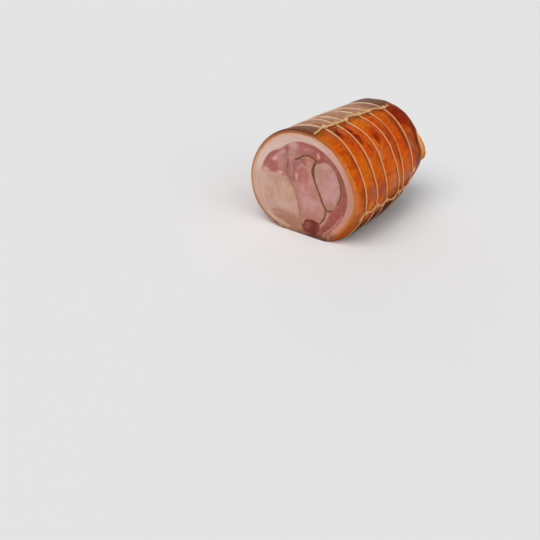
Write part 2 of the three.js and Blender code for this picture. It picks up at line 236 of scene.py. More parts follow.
def far_distance(x, z):
    """Distance from the cut at which the rounded end passes over a point of the cross-section."""
    t = 0.8
    for _ in range(14):
        rise = z - MIDDLE_HEIGHT - END_LIFT * t
        share = math.hypot(x, rise) / skin_radius(math.degrees(math.atan2(rise, x)), END_STATION)
        t = between(t, max(0, 1 - share ** END_POWER) ** (1 / END_POWER), 0.7)
    return LENGTH - END_LENGTH + END_LENGTH * t


def ring_distance(ring, angle):
    """Distance of a ring from the cut at an angle, eased from station to station."""
    side, shoulder, top, left = ring
    stations = (SIDE, SHOULDER, TOP, LEFT, BACK, UNDER, SIDE + 360)
    stops = list(zip(stations, (side, shoulder, top, left, left, side, side)))
    turned = SIDE + (angle - SIDE) % 360
    for (before, here), (after, there) in zip(stops, stops[1:]):
        if turned < after:
            return between(here, there, smoothstep(turned, before, after))
    return side


def skin_relief(angle, y):
    """Height of the skin above its smooth outline, and how far into a groove the place is."""
    lines = [FIRST_LINE] + [ring_distance(ring, angle) for ring in RINGS] + [LAST_LINE]
    after = next(i for i, line in enumerate(lines) if line > y)
    before = after - 1
    span = lines[after] - lines[before]
    share = (y - lines[before]) / span
    bulge = CREST * min(1, span / WIDE_SPAN) * (4 * share * (1 - share)) ** 0.6
    if after == len(lines) - 1:
        bulge *= 1 - smoothstep(share, 0.25, 1) * 1.6
    from_ring = min(abs(y - line) for line in lines[1:-1])
    sunk = 1 - smoothstep(from_ring, GROOVE_WALL, GROOVE_REACH)
    a = math.radians(angle)
    around = Vector((70 * math.cos(a), y, 70 * math.sin(a)))
    lumps = sum(height * noise.noise(around / size) for height, size in LUMPS)
    along_ring = Vector((angle / 2.6, 9 * before, y / 14))
    puckers = 0.5 * noise.noise(along_ring) * math.exp(-(((from_ring - 3.4) / 2.4) ** 2))
    return between(bulge + lumps * smoothstep(y, 0, 9) + puckers, GROOVE_FLOOR, sunk), sunk


def finished_skin(angle, y):
    relief, sunk = skin_relief(angle, y)
    edge = EDGE_DROP * (1 - smoothstep(y, 0, EDGE_REACH)) ** 2
    return skin_spot(angle, y, relief * smoothstep(y, 0, 3) - edge, GROOVE_HEADROOM * sunk)


# Outlines

def bent_through(points, closed, steps):
    """Curve bent evenly through points of any number of coordinates, with so many steps to a stretch."""
    points = [Vector(p) for p in points]
    if closed:
        padded = points[-1:] + points + points[:2]
    else:
        padded = [2 * points[0] - points[1]] + points + [2 * points[-1] - points[-2]]
    result = []
    for a, b, c, d in zip(padded, padded[1:], padded[2:], padded[3:]):
        tb = math.sqrt((b - a).length)
        tc = tb + math.sqrt((c - b).length)
        td = tc + math.sqrt((d - c).length)
        for k in range(steps):
            t = between(tb, tc, k / steps)
            ab = a.lerp(b, t / tb)
            bc = b.lerp(c, (t - tb) / (tc - tb))
            cd = c.lerp(d, (t - tc) / (td - tc))
            abc = ab.lerp(bc, t / tc)
            bcd = bc.lerp(cd, (t - tb) / (td - tb))
            result.append(abc.lerp(bcd, (t - tb) / (tc - tb)))
    return result if closed else result + points[-1:]


def grown(points, grow):
    """Outline moved outwards by grow."""
    area = sum(p.x * q.y - q.x * p.y for p, q in zip(points, points[1:] + points[:1]))
    turn = 1 if area > 0 else -1
    moved = []
    for i, point in enumerate(points):
        along = (points[(i + 1) % len(points)] - points[i - 1]).normalized()
        moved.append(point + grow * turn * Vector((along.y, -along.x)))
    return moved


def muscle_outline(corners, grow):
    return grown(bent_through(corners, True, MUSCLE_STEPS), grow)


def seam_outline(stops, grow):
    """Outline of a seam: both sides of its middle line, a little ragged, with a point at each end."""
    middle = bent_through(stops, False, SEAM_STEPS)
    sides = ([], [])
    for i, spot in enumerate(middle):
        along = middle[min(i + 1, len(middle) - 1)] - middle[max(i - 1, 0)]
        across = Vector((-along.y, along.x)).normalized()
        for side, sign in zip(sides, (1, -1)):
            ragged = 0.35 * noise.noise(Vector((spot.x * 0.8, spot.y * 0.8, 5 * sign)))
            side.append(spot.xy + across * sign * (spot.z + ragged + grow))
    start, end = (
        tip.xy + (tip - inner).xy.normalized() * (tip.z + grow)
        for tip, inner in (middle[:2], middle[:-3:-1])
    )
    return [start] + sides[0] + [end] + sides[1][::-1]


# Work on meshes

def only(piece):
    bpy.ops.object.select_all(action="DESELECT")
    piece.select_set(True)
    bpy.context.view_layer.objects.active = piece


def start_edit(piece, mode="VERT"):
    only(piece)
    bpy.ops.object.mode_set(mode="EDIT")
    bpy.ops.mesh.select_mode(type=mode)
    bpy.ops.mesh.select_all(action="SELECT")


def end_edit():
    bpy.ops.object.mode_set(mode="OBJECT")


def edit_where(piece, mode, test):
    """Starts to edit a piece, with only the vertices, edges or faces selected that pass a test."""
    start_edit(piece, mode)
    bpy.ops.mesh.select_all(action="DESELECT")
    end_edit()
    mesh = piece.data
    for element in {"VERT": mesh.vertices, "EDGE": mesh.edges, "FACE": mesh.polygons}[mode]:
        element.select = test(element)
    bpy.ops.object.mode_set(mode="EDIT")


def turn_outwards(piece):
    start_edit(piece)
    bpy.ops.mesh.normals_make_consistent(inside=False)
    end_edit()


def combine(piece, operation, other):
    only(piece)
    modifier = piece.modifiers.new("boolean", "BOOLEAN")
    modifier.operation = operation
    modifier.solver = "EXACT"
    modifier.object = other
    bpy.ops.object.modifier_apply(modifier=modifier.name)


def discard(piece):
    bpy.data.objects.remove(piece, do_unlink=True)


def linked(name, data):
    """New object in the scene."""
    piece = bpy.data.objects.new(name, data)
    bpy.context.scene.collection.objects.link(piece)
    return piece


def prism(outline, start, end):
    """Straight run of an outline along the roast."""
    bpy.ops.object.select_all(action="DESELECT")
    bpy.ops.mesh.primitive_circle_add(vertices=len(outline), fill_type="NGON")
    piece = bpy.context.object
    for vertex, point in zip(piece.data.vertices, outline):
        vertex.co = to_metres(point.x, start, point.y)
    start_edit(piece)
    bpy.ops.mesh.extrude_region_move(TRANSFORM_OT_translate={"value": (0, (end - start) * MM, 0)})
    end_edit()
    turn_outwards(piece)
    return piece


def joined_runs(outlines, start, end):
    """Straight runs of outlines along the roast, in one piece."""
    runs = [prism(outline, start, end) for outline in outlines]
    for run in runs[1:]:
        combine(runs[0], "UNION", run)
        discard(run)
    return runs[0]


def cutter(outlines):
    """Runs of outlines from before the cut to past the far end."""
    return joined_runs(outlines, -PAST_END, LENGTH + 2 * PAST_END)


def keep_largest(piece):
    """Drops the slivers that the trimming leaves beside the main body."""
    start_edit(piece)
    bpy.ops.mesh.remove_doubles(threshold=WELD * MM)
    bpy.ops.mesh.dissolve_degenerate(threshold=SLIVER * MM)
    bpy.ops.mesh.separate(type="LOOSE")
    end_edit()
    parts = [o for o in bpy.context.selected_objects if o.type == "MESH"]
    parts.sort(key=lambda part: len(part.data.vertices))
    for part in parts[:-1]:
        discard(part)
    return parts[-1]


def grid_lines(piece, spacing):
    """Cuts a piece's two ends into a grid, so that they can be shaped."""
    low = [min(v.co[k] for v in piece.data.vertices) for k in range(3)]
    high = [max(v.co[k] for v in piece.data.vertices) for k in range(3)]
    start_edit(piece)
    for axis, normal in ((0, (1, 0, 0)), (2, (0, 0, 1))):
        place = math.ceil(low[axis] / (spacing * MM)) * spacing * MM
        while place < high[axis]:
            bpy.ops.mesh.select_all(action="SELECT")
            bpy.ops.mesh.bisect(plane_co=[place * n for n in normal], plane_no=normal)
            place += spacing * MM
    end_edit()


def face_relief(x, z, depth, roughness):
    """How far behind the plane of the cut a point of a piece's face lies."""
    spot = Vector((x, z, depth * 10))
    return depth + roughness * (noise.noise(spot / 6) + 0.6 * noise.noise(spot / 2.3) + 1)


def shape_ends(piece, depth, roughness, spacing):
    """Rounds the rim of a piece's cut face, roughens the face and lays the other end to the rounded end."""
    front = (-LENGTH / 2 + 0.01) * MM
    edit_where(piece, "FACE", lambda face: all(piece.data.vertices[i].co.y < front for i in face.vertices))
    bpy.ops.mesh.inset(thickness=RIM * MM, depth=0, use_even_offset=True)
    end_edit()
    inset = {i for face in piece.data.polygons if face.select for i in face.vertices}
    for vertex in piece.data.vertices:
        if vertex.co.y < front and vertex.index not in inset:
            vertex.co.y += RIM * MM
    grid_lines(piece, spacing)
    for vertex in piece.data.vertices:
        x, y, z = from_metres(vertex.co)
        if y < RIM / 2:
            vertex.co.y = (face_relief(x, z, depth, roughness) - LENGTH / 2) * MM
        elif y < LENGTH / 2:
            vertex.co.y += depth * MM
        elif y > LENGTH / 2:
            vertex.co.y = (far_distance(x, z) - LENGTH / 2) * MM


def smooth_shade(piece, angle):
    only(piece)
    bpy.ops.object.shade_smooth_by_angle(angle=math.radians(angle))


# Pieces

def cavity_radius(outline, angle):
    """Distance from the middle line to the inside of the fat, at an angle."""
    direction = outward(angle).xz
    middle = Vector((0, MIDDLE_HEIGHT))
    best = 0
    for p, q in zip(outline, outline[1:] + outline[:1]):
        a, b = p - middle, q - middle
        side = a.cross(direction), b.cross(direction)
        if side[0] * side[1] <= 0 and side[0] != side[1]:
            best = max(best, a.lerp(b, side[0] / (side[0] - side[1])).dot(direction))
    return best


def skin_rows(angle):
    """Distances from the cut of the rows of the skin at an angle, as far as the last groove."""
    rows = list(FIRST_ROWS)
    top_before = rows[-1]
    for ring in RINGS:
        before = rows[-1]
        here, top = ring_distance(ring, angle), ring_distance(ring, TOP)
        count = max(2, round((top - top_before - GROOVE_REACH) / ROW_SPACING))
        rows += [between(before, here - GROOVE_REACH, k / count) for k in range(1, count)]
        rows += [here + step for step in GROOVE_ROWS]
        top_before = top + GROOVE_REACH
    return rows


def column_at(x, z):
    """Number of the column of the skin that passes a place seen from the middle line."""
    return round((math.degrees(math.atan2(z, x)) % 360) * COLUMNS / 360) % COLUMNS


def skin_column(outline, k):
    """Places along the skin, from the cut to the far end's inner rim, and how far out the meat reaches."""
    angle = 360 * k / COLUMNS
    a = math.radians(angle)
    inner = cavity_radius(outline, angle)
    x, z = inner * math.cos(a), MIDDLE_HEIGHT + inner * math.sin(a)
    rim = Vector((x, far_distance(x, z), z))
    miss = rim - skin_spot(angle, rim.y, 0)
    rows = skin_rows(angle)
    places = [finished_skin(angle, y) for y in rows]
    for row in range(1, END_ROWS):
        share = row / END_ROWS
        y = between(rows[-1], rim.y, 1 - (1 - share) ** 1.6)
        places.append(finished_skin(angle, y) + miss * smoothstep(share, 0.3, 1))
    return places + [rim], inner


def face_column(k, skin, inner):
    """Places across the cut face of the fat, from just below the skin's edge in to the meat."""
    direction = outward(360 * k / COLUMNS)
    outer = Vector((skin[0], 0, skin[2] - MIDDLE_HEIGHT)).dot(direction)
    thickness = outer - inner
    depths = [min(step, thickness * (1 - math.exp(-step / thickness * 1.35)) * 0.72) for step in FAT_STEPS]
    depths += [thickness * share for share in FAT_SHARES]
    places = []
    for depth in depths:
        x, z = (outer - depth) * direction.x, MIDDLE_HEIGHT + (outer - depth) * direction.z
        places.append((x, face_relief(x, z, FAT_RELIEF, FAT_RELIEF) * smoothstep(depth, 0, 1.5), z))
    x, y, z = places[-1]
    return places[:-1] + [(x, y + MEAT_EDGE_INSET, z)]


def open_tube(rows):
    """Tube with so many rows of vertices, from -1 to 1 along Y."""
    bpy.ops.object.select_all(action="DESELECT")
    bpy.ops.mesh.primitive_cylinder_add(
        vertices=COLUMNS, radius=1, depth=2, end_fill_type="NOTHING", rotation=(math.pi / 2, 0, 0))
    piece = bpy.context.object
    bpy.ops.object.transform_apply(location=False, rotation=True, scale=False)
    ends = [vertex.co.y for vertex in piece.data.vertices]
    edit_where(piece, "EDGE", lambda edge: abs(ends[edge.vertices[0]] - ends[edge.vertices[1]]) > 1)
    bpy.ops.mesh.subdivide(number_cuts=rows - 2)
    end_edit()
    return piece


def measure_skin(piece, brim, inner):
    """Writes down each vertex's depth under the skin, and its distances from the meat and the twine."""
    measures = {"depth": [], "from_meat": [], "in_front_of_twine": [], "behind_twine": []}
    for vertex in piece.data.vertices:
        x, y, z = from_metres(vertex.co)
        k = column_at(x, z - MIDDLE_HEIGHT)
        radius = math.hypot(x, z - MIDDLE_HEIGHT)
        depth = math.hypot(brim[k][0], brim[k][2] - MIDDLE_HEIGHT) - radius
        on_face = y < 1 and depth > 0.05
        angle = math.degrees(math.atan2(z - MIDDLE_HEIGHT, x))
        gaps = [ring_distance(ring, angle) - y for ring in RINGS]
        measures["depth"].append(depth if on_face else 0)
        measures["from_meat"].append(radius - inner[k] if on_face else FAR_FROM_MEAT)
        measures["in_front_of_twine"].append(min([gap for gap in gaps if gap >= 0] + [TWINE_REACH]))
        measures["behind_twine"].append(min([-gap for gap in gaps if gap <= 0] + [TWINE_REACH]))
    for name, values in measures.items():
        piece.data.attributes.new(name, "FLOAT", "POINT").data.foreach_set("value", values)


def rind_and_fat():
    """The browned skin with the fat under it: an open tube, flat at the cut and rounded at the far end."""
    outline = muscle_outline(CAVITY, -TOUCH)
    skins, inner = zip(*(skin_column(outline, k) for k in range(COLUMNS)))
    rows = len(skins[0])
    piece = open_tube(rows)
    for vertex in piece.data.vertices:
        row = round((vertex.co.y + 1) / 2 * (rows - 1))
        vertex.co = to_metres(*skins[column_at(vertex.co.x, vertex.co.z)][row])

    brim = [from_metres(to_metres(*skin[0])) for skin in skins]
    faces = [face_column(k, brim[k], inner[k]) + [skins[k][-1]] for k in range(COLUMNS)]
    edit_where(piece, "VERT", lambda vertex: vertex.co.y < (-LENGTH / 2 + 0.05) * MM)
    for level in range(len(faces[0])):
        bpy.ops.mesh.extrude_region_move(TRANSFORM_OT_translate={"value": (0, 0, 0)})
        end_edit()
        for vertex in piece.data.vertices:
            if vertex.select:
                x, _, z = from_metres(vertex.co)
                vertex.co = to_metres(*faces[column_at(x, z - MIDDLE_HEIGHT)][level])
        bpy.ops.object.mode_set(mode="EDIT")
    bpy.ops.mesh.select_all(action="SELECT")
    bpy.ops.mesh.remove_doubles(threshold=SKIN_WELD * MM)
    bpy.ops.mesh.normals_make_consistent(inside=False)
    end_edit()

    measure_skin(piece, brim, inner)
    for polygon in piece.data.polygons:
        on_cut = polygon.normal.y < -0.7 and polygon.center.y < -0.11
        polygon.material_index = int(on_cut)
    smooth_shade(piece, 50)
    piece.name = "browned_rind"
    return piece


def loose_lip():
    """Blade of loose skin that curls away from the far end, on the right, widening downwards."""
    bpy.ops.object.select_all(action="DESELECT")
    bpy.ops.mesh.primitive_uv_sphere_add(segments=48, ring_count=40, radius=1)
    piece = bpy.context.object
    for vertex in piece.data.vertices:
        round_place = vertex.co.xy.normalized() if vertex.co.xy.length > 0.01 else Vector((0, 0))
        rise = vertex.co.z
        blunt = (1 - max(0, -rise) ** 6) ** 0.5
        tapered = (1 - 0.8 * smoothstep(rise, -0.5, 1)) * (1 - max(0, rise) ** 4) ** 0.5
        width = blunt * tapered
        out, across = round_place * width
        wave = noise.noise(Vector((across * 2, rise * 3, out)))
        curl = 0.8 + 1.9 * width + 1.4 * out + 3.1 * across + 0.9 * wave * width
        y = LIP_DISTANCE + LIP_HALF_WIDTH * across + 1.6 * wave * width
        vertex.co = to_metres(*skin_spot(LIP_ANGLE + LIP_HALF_SPAN * rise, y, curl))
    turn_outwards(piece)
    smooth_shade(piece, 60)
    piece.name = "loose_lip"
    return piece


def filling_and_muscles():
    """The herb seams and the muscles, each trimmed by those before it, and the belly round them all."""
    herbs = herb_finish()
    plan = (
        ("herb_seam_center", "herb_filling", herbs, (CENTER_SEAM, SEAM_SPUR, SEAM_ARCH), 0.5, 0.35),
        ("herb_seam_right", "herb_filling", herbs, (RIGHT_SEAM,), 0.45, 0.3),
        ("herb_seam_left", "herb_filling", herbs, (LEFT_SEAM,), 0.35, 0.25),
        ("bottom_muscle", "dark_meat", bottom_finish(), (BOTTOM_MUSCLE,), 0.12, 0.15),
        ("top_muscle", "belly_meat", top_finish(), (TOP_MUSCLE,), 0.1, 0.12),
        ("oval_muscle", "pale_meat", oval_finish(), (OVAL_MUSCLE,), 0, 0.1),
        ("corner_muscle", "marbled_meat", corner_finish(), (CORNER_MUSCLE,), 0.1, 0.15),
        ("loin", "loin_meat", loin_finish(), (LOIN,), 0, 0.1),
        ("middle_muscle", "pink_meat", middle_finish(), (MIDDLE_MUSCLE,), 0.08, 0.12),
        ("belly_band", "belly_meat", belly_finish(), (CAVITY,), 0.12, 0.12),
    )
    inside = cutter([muscle_outline(CAVITY, 0)])
    taken = []
    for name, slot, finish, shapes, depth, roughness in plan:
        outline, spacing = (seam_outline, SEAM_GRID) if finish is herbs else (muscle_outline, FACE_GRID)
        piece = joined_runs([outline(shape, TOUCH) for shape in shapes], 0, LENGTH + PAST_END)
        combine(piece, "INTERSECT", inside)
        for other in taken:
            combine(piece, "DIFFERENCE", other)
        piece = keep_largest(piece)
        shape_ends(piece, depth, roughness, spacing)
        turn_outwards(piece)
        smooth_shade(piece, 45)
        piece.name = name + "_cooked"
        dress(piece, [name], slot, finish)
        taken.append(cutter([outline(shape, -TOUCH) for shape in shapes]))
    for spare in taken + [inside]:
        discard(spare)


# Twine

def tubes(name, lines, radius, closed, resolution):
    """Thin round tubes along lines of places, as one piece."""
    curve = bpy.data.curves.new(name, "CURVE")
    curve.dimensions = "3D"
    curve.bevel_depth = radius * MM
    curve.bevel_resolution = resolution
    curve.use_fill_caps = not closed
    for line in lines:
        spline = curve.splines.new("POLY")
        spline.points.add(len(line) - 1)
        spline.use_cyclic_u = closed
        for point, place in zip(spline.points, line):
            point.co = (*to_metres(*place), 1)
    only(linked(name, curve))
    bpy.ops.object.convert(target="MESH")
    return bpy.context.object


def strands(name, route, closed, radius=TWINE_RADIUS, pitch=TWINE_PITCH):
    """Three strands laid round each other along a route of places with their outward directions."""
    places = [place for place, out in route]
    run = [0.0]
    for a, b in zip(places, places[1:] + places[:1]):
        run.append(run[-1] + (b - a).length)
    total = run[-1] if closed else run[-2]
    turns = max(1, round(total / pitch))
    lines = ([], [], [])
    for i, (place, out) in enumerate(route):
        ahead = places[(i + 1) % len(places)] if closed or i + 1 < len(places) else place
        behind = places[i - 1] if closed or i else place
        along = (ahead - behind).normalized()
        across = along.cross(out).normalized()
        up = across.cross(along)
        for strand, line in enumerate(lines):
            turn = 2 * math.pi * (turns * run[i] / total + strand / len(lines))
            away = math.cos(turn) * up + math.sin(turn) * across
            line.append(place + STRAND_OFFSET * radius * away)
    piece = tubes(name, lines, STRAND_RADIUS * radius, closed, 1)
    smooth_shade(piece, 60)
    return piece


def ring_route(ring):
    route = []
    for i in range(RING_STOPS):
        angle = 360 * i / RING_STOPS
        spot = skin_spot(angle, ring_distance(ring, angle), GROOVE_FLOOR, GROOVE_HEADROOM)
        route.append((spot + outward(angle) * (TWINE_RADIUS + FIT_GAP), outward(angle)))
    return route


def string_route(stops):
    """Route of a long string: over each ring that it crosses, and on the skin between them."""
    route = []
    for angle, y in bent_through(stops, False, STRING_STEPS):
        near = min(abs(y - ring_distance(ring, angle)) for ring in RINGS)
        relief = skin_relief(angle, y)[0]
        over_ring = math.exp(-((near / CROSSING_REACH) ** 2))
        lie = max(relief + TWINE_RADIUS, between(-9, CROSSING_HEIGHT, over_ring))
        route.append((skin_spot(angle, y, lie), outward(angle)))
    return route


def crossing(stops, ring):
    """The stop of a string where it meets a ring."""
    return min(stops, key=lambda stop: abs(stop[1] - ring_distance(ring, stop[0])))


def knot(name, angle, y, size):
    """Knot of twine: a loop that passes over and under itself."""
    out = outward(angle)
    around = Vector((-out.z, 0, out.x))
    along = Vector((0, 1, 0))
    middle = skin_spot(angle, y, 1.5)
    route = []
    for i in range(KNOT_STOPS):
        t = 2 * math.pi * i / KNOT_STOPS
        across = (math.sin(t) + 2 * math.sin(2 * t)) * 1.15
        length = math.cos(t) - 2 * math.cos(2 * t)
        height = 0.8 - math.sin(3 * t) * 0.9
        route.append((middle + size * (across * around + length * along * 0.8 + height * out), out))
    return strands(name, route, True, radius=KNOT_RADIUS, pitch=KNOT_PITCH)


def frayed_end(name, stops, first):
    """Loose fibres at the cut end of a string."""
    route = string_route(stops)
    (end, out), (inner, _) = (route[0], route[6]) if first else (route[-1], route[-7])
    direction = (end - inner).normalized()
    across = direction.cross(out).normalized()
    lines = []
    for _ in range(FIBERS):
        lean = random.uniform(-0.8, 0.8)
        rise = random.uniform(-0.1, 0.6)
        reach = random.uniform(2.5, 5)
        offset = random.uniform(-0.8, 0.8) * across + random.uniform(-0.5, 0.7) * out
        line = []
        for share in (0, 0.2, 0.4, 0.6, 0.8, 1):
            bend = (lean * across + rise * out) * (share ** 1.6 * reach) * 0.6
            line.append(end + offset + direction * (share * reach - 1) + bend)
        lines.append(line)
    return tubes(name, lines, FIBER_RADIUS, False, 4)


def kitchen_twine():
    made = [strands(f"twine_ring_{i + 1}", ring_route(ring), True) for i, ring in enumerate(RINGS)]
    for label, stops in (("top", TOP_STRING), ("side", SIDE_STRING)):
        made.append(strands(f"twine_{label}_string", string_route(stops), False))
        for i, ring in enumerate(RINGS):
            angle = crossing(stops, ring)[0]
            size = BIG_KNOT if label == "top" and i == 0 else SMALL_KNOT
            made.append(knot(f"twine_{label}_knot_{i + 1}", angle, ring_distance(ring, angle), size))
        made.append(frayed_end(f"twine_{label}_end", stops, label == "side"))
    return made


# Finishes

def tone(red, green, blue):
    """A colour from its values on a screen, 0 to 255."""
    def linear(value):
        share = value / 255
        return share / 12.92 if share <= 0.04045 else ((share + 0.055) / 1.055) ** 2.4
    return (linear(red), linear(green), linear(blue), 1)


# Degrees in a radian, and the reach of what is drawn right through the roast
DEGREES = 57.2958
ENDLESS = 1e6


class Shade:
    """A value, colour or vector on its way through a finish."""

    def __init__(self, finish, socket):
        self.finish = finish
        self.socket = socket

    def sum(self, operation, *others):
        return self.finish.node("ShaderNodeMath", {"operation": operation}, dict(enumerate((self, *others))))

    def __add__(self, other):
        return self.sum("ADD", other)

    def __sub__(self, other):
        return self.sum("SUBTRACT", other)

    def __rsub__(self, other):
        return self.finish.node("ShaderNodeMath", {"operation": "SUBTRACT"}, {0: other, 1: self})

    def __mul__(self, other):
        return self.sum("MULTIPLY", other)

    __rmul__ = __mul__


def least(distances):
    """The smallest of several distances."""
    nearest = distances[0]
    for distance in distances[1:]:
        nearest = nearest.sum("MINIMUM", distance)
    return nearest


class Finish:
    """A material whose pattern is worked out from the place on the roast, in millimetres."""

    def __init__(self, name):
        self.material = bpy.data.materials.new(name)
        self.material.use_nodes = True
        self.tree = self.material.node_tree
        origin = self.node("ShaderNodeTexCoord", output="Object")
        self.place = self.vector("MULTIPLY_ADD", origin, (1 / MM,) * 3, (-MIDDLE_X, LENGTH / 2, 0))
        self.x, self.y, self.z = (
            self.node("ShaderNodeSeparateXYZ", inputs={0: self.place}, output=k) for k in range(3)
        )

    def connect(self, node, inputs):
        for key, value in inputs.items():
            if isinstance(value, Shade):
                self.tree.links.new(value.socket, node.inputs[key])
            else:
                node.inputs[key].default_value = value

    def node(self, kind, settings=None, inputs=None, output=0):
        made = self.tree.nodes.new(kind)
        for key, value in (settings or {}).items():
            setattr(made, key, value)
        self.connect(made, inputs or {})
        return Shade(self, made.outputs[output])

    def vector(self, operation, *parts):
        output = "Value" if operation == "LENGTH" else 0
        return self.node("ShaderNodeVectorMath", {"operation": operation}, dict(enumerate(parts)), output)

    def joined(self, x, y, z=0):
        return self.node("ShaderNodeCombineXYZ", inputs={0: x, 1: y, 2: z})

    def angle(self):
        """Angle about the middle line."""
        place = {0: self.z - MIDDLE_HEIGHT, 1: self.x}
        return self.node("ShaderNodeMath", {"operation": "ARCTAN2"}, place) * DEGREES

    def mix(self, share, a, b):
        """Blend of two colours, each worked out before or given by its values on a screen."""
        a, b = (tone(*shade) if isinstance(shade, tuple) else shade for shade in (a, b))
        return self.node("ShaderNodeMix", {"data_type": "RGBA"}, {0: share, 6: a, 7: b}, output=2)

    def paint(self, share, shade):
        """Lays a colour over the finish's colour so far."""
        self.color = self.mix(share, self.color, shade)

    def attribute(self, name):
        return self.node("ShaderNodeAttribute", {"attribute_name": name}, output="Fac")

    def ease(self, value, low, high):
        """0 at low, 1 at high, smooth between."""
        limits = {"Value": value, "From Min": low, "From Max": high}
        return self.node("ShaderNodeMapRange", {"interpolation_type": "SMOOTHSTEP"}, limits)

    def cloud(self, size, detail=3, shift=0, at=None, output="Fac"):
        """Noise whose lumps are about so many millimetres across."""
        moved = self.vector("ADD", at or self.place, (shift, 0.7 * shift, 1.3 * shift))
        inputs = {"Vector": moved, "Scale": 1 / size, "Detail": detail, "Roughness": 0.55}
        return self.node("ShaderNodeTexNoise", inputs=inputs, output=output)

    def specks(self, size, low, high, shift=0, detail=3, at=None):
        """1 in the peaks of a noise, 0 outside them."""
        return self.ease(self.cloud(size, detail, shift, at), low, high)

    def cells(self, size, feature="DISTANCE_TO_EDGE", at=None):
        inputs = {"Vector": at or self.place, "Scale": 1 / size}
        return self.node("ShaderNodeTexVoronoi", {"feature": feature}, inputs, output="Distance")

    def warped(self, at, size, amount, shift=0):
        """Places pushed about, so that drawn edges come out uneven."""
        push = self.vector("SUBTRACT", self.cloud(size, 3, shift, at, "Color"), (0.5, 0.5, 0.5))
        return self.vector("MULTIPLY_ADD", push, (2 * amount,) * 3, at)

    def shifted(self, at, middle, turn, scale):
        """Places as seen from a middle, turned in the plane of the cut face and measured in a scale."""
        inputs = {"Vector": at, "Location": middle, "Rotation": (0, turn, 0), "Scale": scale}
        return self.node("ShaderNodeMapping", {"vector_type": "TEXTURE"}, inputs)

    def patch(self, at, middle, reach, turn=0, soft=0.5):
        """1 inside an oval, 0 outside it."""
        local = self.shifted(at, middle, math.radians(-turn), reach)
        return self.ease(self.vector("LENGTH", local), 1 + soft, 1 - soft)

    def face_patch(self, at, x, z, across, tall, turn=0, soft=0.5):
        """Oval drawn on the cut face, and on behind it."""
        return self.patch(at, (x, 0, z), (across, ENDLESS, tall), turn, soft)

    def from_line(self, at, points):
        """Distance from a bent line of the cut face, on it or behind it."""
        distances = []
        for (x1, z1), (x2, z2) in zip(points, points[1:]):
            middle = ((x1 + x2) / 2, 0, (z1 + z2) / 2)
            local = self.shifted(at, middle, -math.atan2(z2 - z1, x2 - x1), (1, ENDLESS, 1))
            half = math.hypot(x2 - x1, z2 - z1) / 2
            past = self.vector("SUBTRACT", self.vector("ABSOLUTE", local), (half, 0, 0))
            distances.append(self.vector("LENGTH", self.vector("MAXIMUM", past, (0, 0, 0))))
        return least(distances)

    def from_seams(self, at):
        """Distance from each herb seam's middle line."""
        return [self.from_line(at, [stop[:2] for stop in stops]) for stops in SEAMS]

    def face_line(self, at, points, width):
        """1 on a bent line of the cut face, 0 beside it."""
        return self.ease(self.from_line(at, points), width, 0.2 * width)

    def bump(self, height, depth, strength=1):
        """Relief of so many millimetres."""
        inputs = {"Height": height, "Distance": depth * MM, "Strength": strength}
        return self.node("ShaderNodeBump", inputs=inputs)

    def finish(self, roughness, normal, specular, subsurface=()):
        """The finished material; subsurface is its weight, its scale and the reach of each colour."""
        inputs = {"Base Color": self.color, "Roughness": roughness, "Normal": normal}
        inputs["Specular IOR Level"] = specular
        inputs.update(zip(("Subsurface Weight", "Subsurface Scale", "Subsurface Radius"), subsurface))
        self.connect(self.tree.nodes["Principled BSDF"], inputs)
        return self.material


# Colours and lines where two pieces meet, shared so that they blend
MEMBRANE = (170, 116, 96)
PALE_MEMBRANE = (212, 166, 150)
HERB_STAIN = (164, 116, 88)
DARK_CRUST = ((70, 26, 8), (126, 52, 18))
LOIN_EDGE = ((-20, 69), (-13, 64), (-7, 55), (-2, 43), (1, 31), (4, 18), (6, 4))
LOIN_TOP = ((-62, 72), (-46, 71), (-32, 71.5), (-20, 70.5))
TAN_STREAK = ((-22, 100), (-12, 101.5), (-5, 100))


def browned_through(f):
    """Browned where the roast rounds off at the far end."""
    crust = f.mix(f.specks(9, 0.35, 0.65, 71, 4), (88, 34, 12), (142, 70, 32))
    f.paint(f.ease(f.y + 8 * f.cloud(6), 199, 206), crust)
    end = f.ease(f.y, 204, 210)
    f.paint(end * f.specks(14, 0.45, 0.75, 76) * 0.4, (160, 88, 54))
    f.paint(end * f.specks(3, 0.5, 0.74, 6) * 0.35, (60, 24, 8))
    rim = f.face_patch(f.warped(f.place, 9, 5), -2, 62, 54, 49, 0, 0.22)
    f.paint(end * (1 - rim) * 0.85, f.mix(f.cloud(6, 4), *DARK_CRUST))


